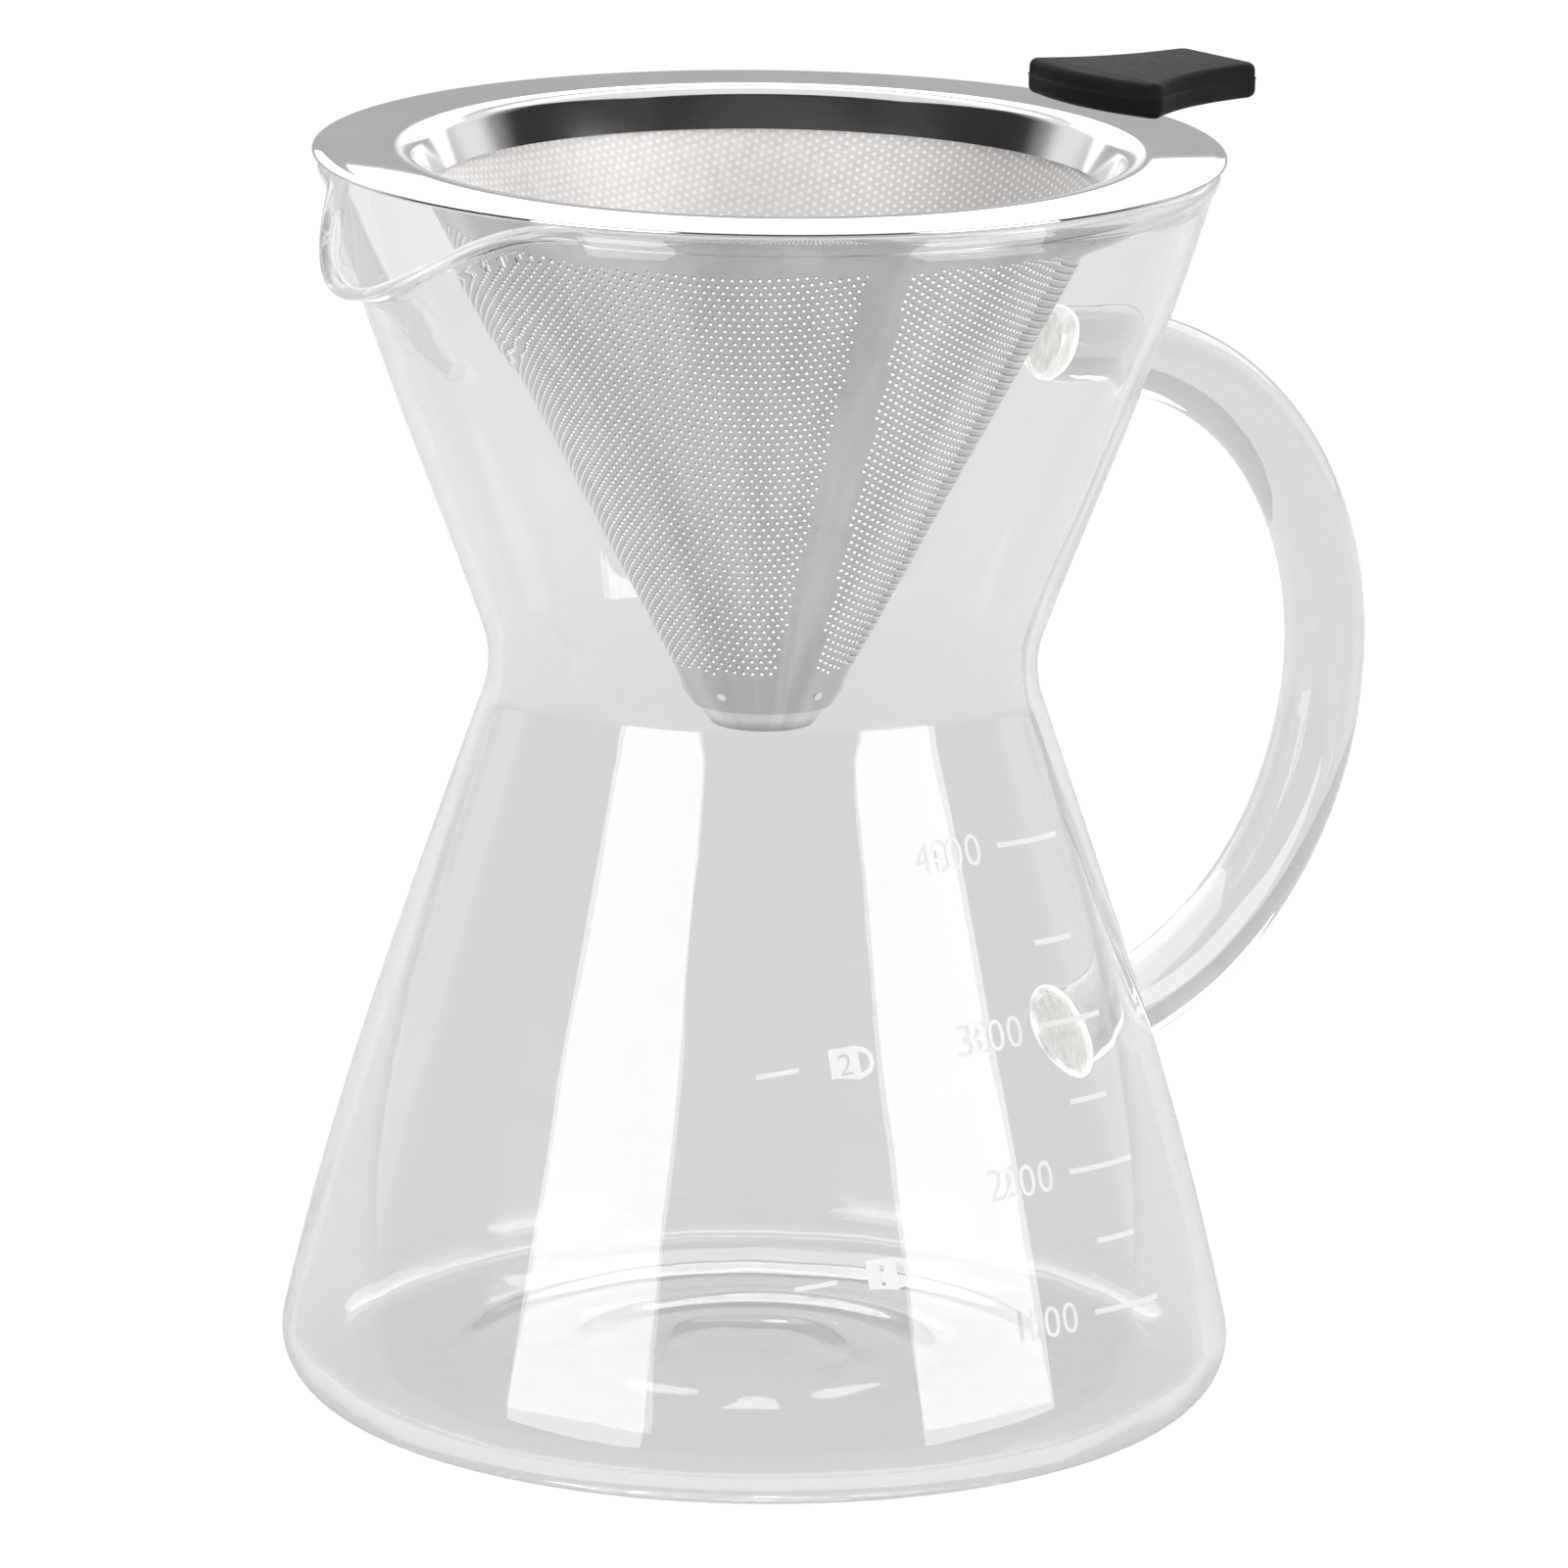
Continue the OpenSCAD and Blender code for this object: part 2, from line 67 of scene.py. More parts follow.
def close_up(piece, gap=1e-6, outwards=True):
    """Merges doubled points and, unless told otherwise, points every face outwards."""
    take(piece)
    bpy.ops.object.mode_set(mode="EDIT")
    bpy.ops.mesh.select_all(action="SELECT")
    bpy.ops.mesh.remove_doubles(threshold=gap)
    if outwards:
        bpy.ops.mesh.normals_make_consistent(inside=False)
    bpy.ops.object.mode_set(mode="OBJECT")
    return piece


def smooth(piece, angle=35):
    take(piece)
    bpy.ops.object.shade_smooth_by_angle(angle=math.radians(angle))
    return piece


def give(piece, *materials):
    piece.data.materials.clear()
    for m in materials:
        piece.data.materials.append(m)
    return piece


def points_of(piece):
    co = np.empty(len(piece.data.vertices) * 3)
    piece.data.vertices.foreach_get("co", co)
    return co.reshape(-1, 3)


def put_points(piece, co):
    piece.data.vertices.foreach_set("co", np.asarray(co, float).ravel())
    piece.data.update()
    return piece


def from_lists(name, points, faces, edges=()):
    mesh = bpy.data.meshes.new(name)
    mesh.from_pydata([tuple(p) for p in points], edges, [tuple(f) for f in faces])
    mesh.update()
    piece = bpy.data.objects.new(name, mesh)
    bpy.context.scene.collection.objects.link(piece)
    return piece


# Points of neighbouring sweeps that are nearer than this, in mm, are one
SWEEP_GAP = 2e-3


def lathe(name, outline, sweeps=((0, 360, 96),), closed=True):
    """Turns an outline of (radius, height) in mm about the upright axis, in one or more sweeps
    of (from, to, steps) in degrees."""
    edges = [(i, i + 1) for i in range(len(outline) - 1)]
    if closed:
        edges.append((len(outline) - 1, 0))
    made = []
    for low, high, steps in sweeps:
        start = math.radians(low)
        points = [(r * math.cos(start), r * math.sin(start), z) for r, z in outline]
        piece = from_lists(name, points, [], edges)
        take(piece)
        bpy.ops.object.modifier_add(type="SCREW")
        turn = piece.modifiers[-1]
        turn.angle = math.radians(high - low)
        turn.steps = steps
        turn.render_steps = steps
        bpy.ops.object.modifier_apply(modifier=turn.name)
        made.append(piece)
    take(made[0])
    for piece in made[1:]:
        piece.select_set(True)
    if len(made) > 1:
        bpy.ops.object.join()
    return close_up(made[0], SWEEP_GAP)


def arc(centre, radius, low, high, steps):
    """Points of an arc, from one angle to another in degrees."""
    angles = [math.radians(low + (high - low) * i / steps) for i in range(steps + 1)]
    return [(centre[0] + radius * math.cos(a), centre[1] + radius * math.sin(a)) for a in angles]


def turned(x, y, angle):
    """Flat places turned about the origin, by an angle in radians."""
    c, s = math.cos(angle), math.sin(angle)
    return x * c - y * s, x * s + y * c


def ways_along(line, closed=False):
    """Unit way at each point of a line, from the point before it to the one after it."""
    if closed:
        ways = np.roll(line, -1, 0) - np.roll(line, 1, 0)
    else:
        ways = np.vstack([line[1:], line[-1:]]) - np.vstack([line[:1], line[:-1]])
    return ways / np.linalg.norm(ways, axis=1)[:, None]


def across(ways):
    """Ways a quarter turn to the left of flat ones."""
    return np.stack([-ways[:, 1], ways[:, 0]], 1)


# Shader steps

def feed(t, socket, value):
    """Gives a socket a value, or joins it to the output of another node."""
    if isinstance(value, bpy.types.NodeSocket):
        t.links.new(value, socket)
    else:
        socket.default_value = value


def tune(t, shader, values):
    """Feeds the named sockets of a shader."""
    for name, value in values.items():
        feed(t, shader.inputs[name], value)


def step(t, kind, values, output=0, **settings):
    """Adds a node with its settings and its fed inputs, and gives back one of its outputs."""
    node = t.nodes.new("ShaderNode" + kind)
    for name, value in settings.items():
        setattr(node, name, value)
    for socket, value in values.items():
        feed(t, node.inputs[socket], value)
    return node.outputs[output]


def sums(t, operation, a, b):
    return step(t, "Math", {0: a, 1: b}, operation=operation)


def vectors(t, operation, values, output="Vector"):
    return step(t, "VectorMath", dict(enumerate(values)), output, operation=operation)


def ray(t, what):
    """What kind of ray meets the surface, or how many surfaces it met before."""
    return step(t, "LightPath", {}, what)


def place_on(t, kind="Object"):
    return step(t, "TexCoord", {}, kind)


def mixed(t, share, first, second):
    return step(t, "MixShader", {0: share, 1: first, 2: second})


def mapped(t, value, low, high, from_low=0.0, from_high=1.0):
    ends = {"From Min": from_low, "From Max": from_high, "To Min": low, "To Max": high}
    return step(t, "MapRange", {"Value": value, **ends})


def as_colour(value):
    return value if isinstance(value, bpy.types.NodeSocket) else (*value, 1)


def blend_colours(t, share, a, b):
    return step(t, "Mix", {0: share, 6: as_colour(a), 7: as_colour(b)}, 2, data_type="RGBA")


def with_painted_shade(t, share, colour, shade):
    """A colour multiplied by a grey painted shade, as far as the share says."""
    ends = {0: share, 6: colour, 7: (shade, shade, shade, 1)}
    return step(t, "Mix", ends, 2, data_type="RGBA", blend_type="MULTIPLY")


def noise_at(t, place, scale, detail, rough=0.5):
    values = {"Vector": place, "Scale": scale, "Detail": detail, "Roughness": rough}
    return step(t, "TexNoise", values, "Fac")


def noise(t, scale, detail=3.0, stretch=(1, 1, 1)):
    """Noise on the piece's own coordinates, in cycles a metre, stretched along an axis."""
    return noise_at(t, step(t, "Mapping", {0: place_on(t), "Scale": stretch}), scale, detail)


def bump(t, shader, height, distance, strength=1.0):
    values = {"Height": height, "Distance": distance, "Strength": strength}
    t.links.new(step(t, "Bump", values), shader.inputs["Normal"])


def show(t, result):
    """Makes a shader the one that the material shows."""
    out = next(n for n in t.nodes if n.type == "OUTPUT_MATERIAL")
    t.links.new(result, out.inputs[0])


def new_material(name):
    m = bpy.data.materials.new(name)
    m.use_nodes = True
    t = m.node_tree
    t.nodes.clear()
    t.nodes.new("ShaderNodeOutputMaterial")
    shader = t.nodes.new("ShaderNodeBsdfPrincipled")
    show(t, shader.outputs[0])
    return m, t, shader


# Camera, floor and light

PHOTO_PX, FOCAL_PX, SENSOR_W = 1601, 10650, 36.0
NEAREST_SEEN, FARTHEST_SEEN = 0.05, 50
CAMERA_BACK, CAMERA_UP = 1.1304, 0.3461
CAMERA_AZIMUTH = math.radians(-38.5)
CAMERA_YAW = math.radians(0.128)
CAMERA_PITCH = math.radians(13.785)
CAMERA_ROLL = math.radians(0.78)


def set_camera():
    data = bpy.data.cameras.new("photo_camera")
    data.sensor_width = SENSOR_W
    data.lens = FOCAL_PX / PHOTO_PX * SENSOR_W
    data.clip_start = NEAREST_SEEN
    data.clip_end = FARTHEST_SEEN
    camera = bpy.data.objects.new("photo_camera", data)
    bpy.context.scene.collection.objects.link(camera)
    turn = Matrix.Rotation(CAMERA_AZIMUTH, 3, "Z")
    ahead = turn @ Vector((math.sin(CAMERA_YAW), math.cos(CAMERA_YAW), 0))
    right = turn @ Vector((math.cos(CAMERA_YAW), -math.sin(CAMERA_YAW), 0))
    forward = ahead * math.cos(CAMERA_PITCH) - Vector((0, 0, math.sin(CAMERA_PITCH)))
    up = right.cross(forward)
    right_rolled = right * math.cos(CAMERA_ROLL) + up * math.sin(CAMERA_ROLL)
    up_rolled = up * math.cos(CAMERA_ROLL) - right * math.sin(CAMERA_ROLL)
    m = Matrix((right_rolled, up_rolled, -forward)).transposed().to_4x4()
    m.translation = turn @ Vector((0, -CAMERA_BACK, CAMERA_UP))
    camera.matrix_world = m
    bpy.context.scene.camera = camera


def toward(azimuth, elevation):
    """Direction from the carafe, in degrees: round to the right as seen from the camera's side, and up."""
    a = CAMERA_AZIMUTH + math.radians(azimuth)
    e = math.radians(elevation)
    return Vector((math.sin(a) * math.cos(e), -math.cos(a) * math.cos(e), math.sin(e)))


LAMPS_AIM = Vector((0, 0, 0.07))


def soft_box(name, azimuth, elevation, distance, width, height, watts,
             turn=0, through_glass=True, in_mirror=True):
    """An area lamp aimed at the carafe, which can be left out of what is seen through glass
    or in a mirror."""
    data = bpy.data.lights.new(name, "AREA")
    data.shape = "RECTANGLE"
    data.size = width
    data.size_y = height
    data.energy = watts
    lamp = bpy.data.objects.new(name, data)
    bpy.context.scene.collection.objects.link(lamp)
    place = LAMPS_AIM + toward(azimuth, elevation) * distance
    own_turn = Quaternion((0, 0, 1), math.radians(turn))
    lamp.location = place
    lamp.rotation_mode = "QUATERNION"
    lamp.rotation_quaternion = (LAMPS_AIM - place).to_track_quat("-Z", "Y") @ own_turn
    lamp.visible_camera = False
    lamp.visible_transmission = through_glass
    lamp.visible_glossy = in_mirror
    return lamp


# Grey levels of the room from straight behind the carafe (0) round to the camera's side (1)
ROOM_IN_MIRRORS = ((0.0, 0.43), (0.13, 0.43), (0.20, 0.82), (0.27, 0.82), (0.34, 0.25),
                   (0.40, 0.03), (0.78, 0.02), (0.86, 0.07), (1.0, 0.06))
ROOM_THROUGH_GLASS = ((0.0, 0.72), (0.5, 0.8), (0.75, 0.82), (1.0, 0.72))
MIRRORED_STRENGTH, THROUGH_STRENGTH, SEEN_STRENGTH = 1.1, 1.0, 1.05


def room_light(t, levels, strength):
    """Light of the room by grey levels, from straight behind the carafe round to the camera's side."""
    front = vectors(t, "DOT_PRODUCT", (place_on(t, "Generated"), toward(0, 0)), "Value")
    ramp = t.nodes.new("ShaderNodeValToRGB")
    stops = ramp.color_ramp.elements
    ramp.color_ramp.interpolation = "EASE"
    for stop in list(stops)[1:]:
        stops.remove(stop)
    stops[0].position = levels[0][0]
    stops[0].color = (levels[0][1],) * 3 + (1,)
    for at, level in levels[1:]:
        stops.new(at).color = (level, level, level, 1)
    t.links.new(mapped(t, front, 0, 1, -1, 1), ramp.inputs[0])
    return step(t, "Background", {"Color": ramp.outputs[0], "Strength": strength})


def studio_world():
    """White where the camera looks straight at it, pale where glass bends the view,
    and else a bright room with a dark camera side."""
    world = bpy.data.worlds.new("studio")
    bpy.context.scene.world = world
    world.use_nodes = True
    t = world.node_tree
    t.nodes.clear()
    out = t.nodes.new("ShaderNodeOutputWorld")
    seen = step(t, "Background", {"Color": (1, 1, 1, 1), "Strength": SEEN_STRENGTH})
    mirrored = room_light(t, ROOM_IN_MIRRORS, MIRRORED_STRENGTH)
    through = room_light(t, ROOM_THROUGH_GLASS, THROUGH_STRENGTH)
    bent = mixed(t, ray(t, "Is Transmission Ray"), mirrored, through)
    t.links.new(mixed(t, ray(t, "Is Camera Ray"), bent, seen), out.inputs[0])


FLOOR_R, FLOOR_UNDER = 6, 0.0002
FLOOR_PALE, FLOOR_IN_OUTLINE = 0.93, 0.47
FLOOR_THROUGH_GLASS, FLOOR_SEEN = 0.955, 1.02


def floor_material():
    """Pale ground, burnt out to white where it is looked at, a little greyer through glass and grey where
    the outline of the glass mirrors it, which is a painted darker reflection."""
    m, t, shader = new_material("pale_floor")
    # Painted darker reflection: glossy rays that have not passed through the glass see the floor grey
    outside = sums(t, "LESS_THAN", ray(t, "Transmission Depth"), 1.5)
    in_outline = sums(t, "MULTIPLY", ray(t, "Is Glossy Ray"), outside)
    ground = blend_colours(t, in_outline, (FLOOR_PALE,) * 3, (FLOOR_IN_OUTLINE,) * 3)
    tune(t, shader, {"Base Color": ground, "Roughness": 0.9, "Specular IOR Level": 0.1})
    looked = sums(t, "MAXIMUM", ray(t, "Is Camera Ray"), ray(t, "Is Transmission Ray"))
    strength = mapped(t, ray(t, "Is Camera Ray"), FLOOR_THROUGH_GLASS, FLOOR_SEEN)
    white = step(t, "Emission", {"Color": (1, 1, 1, 1), "Strength": strength})
    show(t, mixed(t, looked, shader.outputs[0], white))
    return m


def lay_floor():
    middle = (0, 0, -FLOOR_UNDER)
    bpy.ops.mesh.primitive_circle_add(vertices=96, radius=FLOOR_R, fill_type="NGON", location=middle)
    piece = bpy.context.object
    piece.name = "studio_floor"
    settle(piece)
    give(piece, floor_material())


# Materials

# Light that has met more surfaces than this in the glass is shown as painted light of this level
CAUGHT_AFTER = 9
CAUGHT_LIGHT = 0.72
GLASS_IOR = 1.47


def let_light_through(t, shader, tint):
    """Shadow rays pass the glass, so that what is inside and behind it is lit, and light caught in the wall
    ends in a painted pale glow."""
    late = sums(t, "GREATER_THAN", ray(t, "Ray Depth"), CAUGHT_AFTER)
    # Painted light in place of the light caught in the wall
    caught = step(t, "Emission", {"Color": (1, 1, 0.995, 1), "Strength": CAUGHT_LIGHT})
    clear = step(t, "BsdfTransparent", {"Color": (*tint, 1)})
    deep = mixed(t, late, shader.outputs[0], caught)
    show(t, mixed(t, ray(t, "Is Shadow Ray"), deep, clear))


def clear_glass(name, tint, edge_tint, wave, wave_height, wave_strength, shadow):
    """Clear glass, greyer where it is looked at straight and clearer towards its outline,
    with a slow hand-made wave."""
    m, t, s = new_material(name)
    facing = step(t, "LayerWeight", {"Blend": 0.5}, "Facing")
    colour = blend_colours(t, mapped(t, facing, 0, 1, 0.25, 0.9), tint, edge_tint)
    tune(t, s, {"Transmission Weight": 1.0, "Roughness": 0.0, "IOR": GLASS_IOR, "Base Color": colour})
    bump(t, s, noise(t, *wave), wave_height, wave_strength)
    let_light_through(t, s, shadow)
    return m, t, s


def height_on(t):
    """Height on the piece, in metres."""
    return step(t, "SeparateXYZ", {0: place_on(t)}, "Z")


# Above the waist the wall is clearer, from one height to another, in metres
WALL_CLEARER, CLEARER_FROM, CLEARER_TO = 0.32, 0.080, 0.098


def blown_glass():
    """Glass of the wall, which is blown thinner and clearer above the waist."""
    m, t, s = clear_glass("blown_glass", (0.852, 0.855, 0.853), (0.90, 0.902, 0.90),
                          (38, 2.0, (1, 1, 0.55)), 0.0006, 0.5, (0.97, 0.97, 0.97))
    colour = s.inputs["Base Color"].links[0].from_socket
    clearer = mapped(t, height_on(t), 0.0, WALL_CLEARER, CLEARER_FROM, CLEARER_TO)
    tune(t, s, {"Base Color": blend_colours(t, clearer, colour, (1, 1, 1))})
    return m


def rod_glass():
    return clear_glass("rod_glass", (0.735, 0.74, 0.738), (0.98, 0.98, 0.978),
                       (70, 2.0), 0.0004, 0.5, (0.97, 0.97, 0.97))[0]


def fused_glass():
    """Cloudy glass of a fused face, with pale streaks that glow: painted light standing in for the light
    seen through the rod.
    """
    m, t, s = clear_glass("fused_glass", (0.86, 0.865, 0.83), (0.99, 0.99, 0.98),
                          (520, 4.0), 0.0004, 0.5, (0.94, 0.94, 0.92))
    streaks = mapped(t, noise(t, 1500, 4.0, (1, 1, 0.5)), 0.0, 1.0, 0.38, 0.62)
    # The emission is painted light
    tune(t, s, {
        "Base Color": blend_colours(t, streaks, (0.88, 0.88, 0.83), (1.0, 1.0, 0.98)),
        "Emission Color": blend_colours(t, streaks, (0.70, 0.71, 0.64), (1.0, 1.0, 0.98)),
        "Emission Strength": 0.62, "Roughness": 0.25, "Transmission Weight": 0.55})
    return m


def fused_edge():
    """Rounded edge of a fused joint, with a painted highlight that glows where light gathers."""
    m, t, s = clear_glass("fused_edge", (0.97, 0.97, 0.96), (1.0, 1.0, 1.0),
                          (900, 2.0), 0.0002, 0.4, (0.97, 0.97, 0.96))
    # Painted highlight: the edge's emission
    glow = mapped(t, noise(t, 300, 2.0), 0.35, 1.0, 0.35, 0.6)
    tune(t, s, {"Roughness": 0.1, "Emission Color": (1, 1, 0.99, 1), "Emission Strength": glow})
    return m


def white_enamel():
    m, t, s = new_material("white_enamel")
    # The white emission is a faint painted glow on the print
    tune(t, s, {
        "Base Color": blend_colours(t, noise(t, 900, 3.0), (0.60, 0.60, 0.60), (0.66, 0.66, 0.66)),
        "Roughness": mapped(t, noise(t, 1600, 2.0), 0.25, 0.45),
        "Emission Color": (1, 1, 1, 1), "Emission Strength": 0.12})
    return m


def flat_place(t):
    """Place on the piece with its height left out."""
    return vectors(t, "MULTIPLY", (place_on(t), (1, 1, 0)))


def from_axis(t):
    """Distance from the filter's axis, in metres."""
    return vectors(t, "LENGTH", (flat_place(t),), "Value")


# Radii between which the brim's mirror turns into the brushed collar, in metres
COLLAR_SIDE, BRIM_SIDE = 0.0405, 0.0415


def polished_steel():
    """Mirror on the flat brim, brushed soft on the collar inside it."""
    m, t, s = new_material("polished_steel")
    smears = mapped(t, noise(t, 55, 3.0), 0.0, 1.0, 0.35, 0.65)
    tune(t, s, {
        "Metallic": 1.0,
        "Base Color": blend_colours(t, smears, (0.80, 0.80, 0.81), (0.88, 0.88, 0.885)),
        "Roughness": mapped(t, from_axis(t), 0.13, 0.012, COLLAR_SIDE, BRIM_SIDE)})
    return m


def streaks_round_axis(t, scale, detail):
    """Noise that runs as streaks down the cone: it changes round the axis and only slowly with height."""
    way = vectors(t, "NORMALIZE", (flat_place(t),))
    return noise_at(t, vectors(t, "MULTIPLY_ADD", (place_on(t), (0, 0, 9), way)), scale, detail)


def satin_steel(name="satin_steel", low=(0.58, 0.57, 0.567), high=(0.76, 0.747, 0.744),
                rough=(0.17, 0.25)):
    m, t, s = new_material(name)
    streaks = mapped(t, streaks_round_axis(t, 3.4, 4.0), 0.0, 1.0, 0.38, 0.62)
    tune(t, s, {
        "Metallic": 1.0,
        "Base Color": blend_colours(t, streaks, low, high),
        "Roughness": mapped(t, noise(t, 1500, 3.0, (1, 1, 0.15)), *rough)})
    bump(t, s, noise(t, 5200, 2.0, (1, 1, 0.12)), 0.00002, 0.3)
    return m, t, s


# Heights between which the tip rounds in and its colour is made darker with painted shade, in metres
TIP_DARK, TIP_LIGHT = 0.0763, 0.0780


def tip_steel():
    """Satin steel with painted shade where it is rounded in under the tip."""
    m, t, s = satin_steel("tip_steel", (0.74, 0.727, 0.724), (0.92, 0.905, 0.90))
    colour = s.inputs["Base Color"].links[0].from_socket
    # Painted shade, darker towards the bottom of the tip
    rounded = mapped(t, height_on(t), 1.0, 0.0, TIP_DARK, TIP_LIGHT)
    tune(t, s, {"Base Color": with_painted_shade(t, rounded, colour, 0.45)})
    return m


def hole_side(name, level, glow):
    """One side of the small punched holes, with painted shade, or with a painted glint where it would catch
    the light.
    """
    m, t, s = new_material(name)
    tune(t, s, {
        "Metallic": 0.4,
        "Base Color": blend_colours(t, noise(t, 2400, 2.0), (level * 0.85,) * 3, (level,) * 3),
        "Roughness": mapped(t, noise(t, 3100, 2.0), 0.3, 0.5),
        "Emission Color": (1, 1, 1, 1), "Emission Strength": glow})
    return m


def hex_dots(t, pitch, size, soft):
    """Round dots on a staggered grid over the UV map, which is in metres: 1 in a dot and 0 between dots."""
    uv = step(t, "UVMap", {}, uv_map="sheet")
    row = math.sqrt(3)

    def lattice(across, up):
        moved = vectors(t, "ADD", (uv, (across * pitch, up * pitch, 0)))
        cell = vectors(t, "FRACTION", (vectors(t, "DIVIDE", (moved, (pitch, pitch * row, 1))),))
        middle = vectors(t, "SUBTRACT", (cell, (0.5, 0.5, 0)))
        return vectors(t, "LENGTH", (vectors(t, "MULTIPLY", (middle, (1, row, 0))),), "Value")

    near = sums(t, "MINIMUM", lattice(0, 0), lattice(0.5, row / 2))
    return mapped(t, near, 1.0, 0.0, size - soft, size + soft)


def to_right(t):
    """Distance from the axis toward the right side of the picture, in metres."""
    right = (math.cos(CAMERA_AZIMUTH), math.sin(CAMERA_AZIMUTH), 0)
    return vectors(t, "DOT_PRODUCT", (place_on(t), right), "Value")


# How far to the right the inside of the woven cone gets painted shade, in metres, and how dark it gets
SHADE_REACH, SHADE_LEVEL = 0.034, 0.67
# Radius of the pale dots, painted light where the holes behind the weave let light through, and how soft
# their edge is, as shares of the holes' pitch
DOT_R, DOT_SOFT = 0.21, 0.06


def woven_mesh():
    m, t, s = new_material("woven_mesh")
    # The pale dots and their emission are painted light
    dots = hex_dots(t, PITCH * MM, DOT_R, DOT_SOFT)
    ground = blend_colours(t, noise(t, 700, 4.0), (0.82, 0.79, 0.775), (0.98, 0.95, 0.935))
    light = blend_colours(t, mapped(t, dots, 0.0, 0.85), ground, (1.0, 0.985, 0.98))
    # Painted shade towards the right
    shade = mapped(t, to_right(t), 0.0, 1.0, 0.0, SHADE_REACH)
    tune(t, s, {
        "Metallic": 0.35,
        "Base Color": with_painted_shade(t, shade, light, SHADE_LEVEL),
        "Roughness": mapped(t, noise(t, 5200, 2.0), 0.38, 0.6),
        "Emission Color": (1.0, 0.985, 0.98, 1),
        "Emission Strength": mapped(t, dots, 0.0, 0.2)})
    bump(t, s, noise(t, 7000, 1.0), 0.00005, 0.6)
    return m


def leave_out_of_mirrors(t, shader):
    show(t, mixed(t, ray(t, "Is Glossy Ray"), shader.outputs[0], step(t, "BsdfTransparent", {})))


def tongue_steel():
    """Satin steel of the tongue, which the brim doesn't mirror either."""
    m, t, s = satin_steel("tongue_steel")
    leave_out_of_mirrors(t, s)
    return m


def black_silicone():
    """Dull black with a fine grain. The brim doesn't mirror it, as in the photo."""
    m, t, s = new_material("black_silicone")
    black = blend_colours(t, noise(t, 260, 4.0), (0.007, 0.007, 0.0075), (0.014, 0.014, 0.0145))
    tune(t, s, {
        "Base Color": black,
        "Roughness": mapped(t, noise(t, 1100, 4.0), 0.5, 0.7),
        "Specular IOR Level": 0.1})
    bump(t, s, noise(t, 2400, 4.0), 0.00006, 0.5)
    leave_out_of_mirrors(t, s)
    return m


# The glass wall's own measures, in mm

BASE_R, CORNER_R, PUNT_R, PUNT_RISE = 53.3, 6.0, 36.0, 1.6
WAIST_R, WAIST_Z, WAIST_BEND = 30.55, 83.1, 12.5
RIM_R, RIM_Z, WALL, BEAD = 49.7, 140.0, 1.9, 2.6
RIM_MID_Z = RIM_Z - BEAD / 2
RIM_WALL_R = RIM_R - (BEAD - WALL) / 2
WALL_LEAN, WAIST_LEAN, RIM_LEAN = 12.5, 19.0, 15.0
# How long the wall goes straight on at the ends of its curves, as shares of their rise
CHAMBER_PULL, FUNNEL_LOW_PULL, FUNNEL_HIGH_PULL = 0.36, 0.26, 0.36
PUNT_STEPS, CORNER_STEPS, CHAMBER_STEPS, WAIST_STEPS, FUNNEL_STEPS = 14, 12, 32, 12, 36


def bezier(a, b, c, d, steps):
    """Points of a curve from a to d that is pulled toward b and c, without its first one."""
    made = []
    for i in range(1, steps + 1):
        t = i / steps
        s = 1 - t
        shares = (s * s * s, 3 * s * s * t, 3 * s * t * t, t * t * t)
        made.append(tuple(sum(share * p[k] for share, p in zip(shares, (a, b, c, d))) for k in (0, 1)))
    return made


def lean(angle, rise):
    return rise * math.tan(math.radians(angle)), rise


def leaning_curve(low, high, low_lean, high_lean, low_pull, high_pull, steps):
    """A curve of the wall from one point up to another, with its lean in degrees at both."""
    rise = high[1] - low[1]
    a, b = lean(low_lean, low_pull * rise), lean(high_lean, high_pull * rise)
    return bezier(low, (low[0] + a[0], low[1] + a[1]), (high[0] - b[0], high[1] - b[1]), high, steps)


def waist_point(angle):
    """A point of the waist's bend, by degrees above its narrowest place."""
    a = math.radians(angle)
    return WAIST_R + WAIST_BEND * (1 - math.cos(a)), WAIST_Z + WAIST_BEND * math.sin(a)


def outer_wall():
    """Outside of the blown wall, from the middle of the foot to under the rim."""
    punt = []
    for i in range(PUNT_STEPS + 1):
        share = i / PUNT_STEPS
        punt.append((PUNT_R * share, PUNT_RISE * (1 + math.cos(math.pi * share)) / 2))
    corner = arc((BASE_R - CORNER_R, CORNER_R), CORNER_R, -90, WALL_LEAN, CORNER_STEPS)
    chamber = leaning_curve(corner[-1], waist_point(-WAIST_LEAN), -WALL_LEAN, -WAIST_LEAN,
                            CHAMBER_PULL, CHAMBER_PULL, CHAMBER_STEPS)
    turns = [-WAIST_LEAN + 2 * WAIST_LEAN * i / WAIST_STEPS for i in range(1, WAIST_STEPS + 1)]
    waist = [waist_point(turn) for turn in turns]
    funnel = leaning_curve(waist[-1], (RIM_WALL_R, RIM_MID_Z), WAIST_LEAN, RIM_LEAN,
                           FUNNEL_LOW_PULL, FUNNEL_HIGH_PULL, FUNNEL_STEPS)
    return punt + corner + chamber + waist + funnel


OUTER_WALL = outer_wall()
SIDE_R, SIDE_Z = np.array([p for p in OUTER_WALL if p[1] > CORNER_R]).T


def wall_r(z):
    """Outer radius of the blown wall at a height."""
    return np.interp(z, SIDE_Z, SIDE_R)


FLOOR_EDGE_R, FLOOR_EDGE_Z = 44.0, 3
# The wall's extra thickness over the foot, and the height where it ends
FOOT_EXTRA, FOOT_EXTRA_TOP = 0.55, 9
# Rings of the hand-worked floor: radius, height and half-width of each
FLOOR_RINGS = ((41.0, 0.36, 1.8), (34.5, 0.58, 2.4), (20.5, 0.66, 2.6), (10.5, 0.46, 2.4))
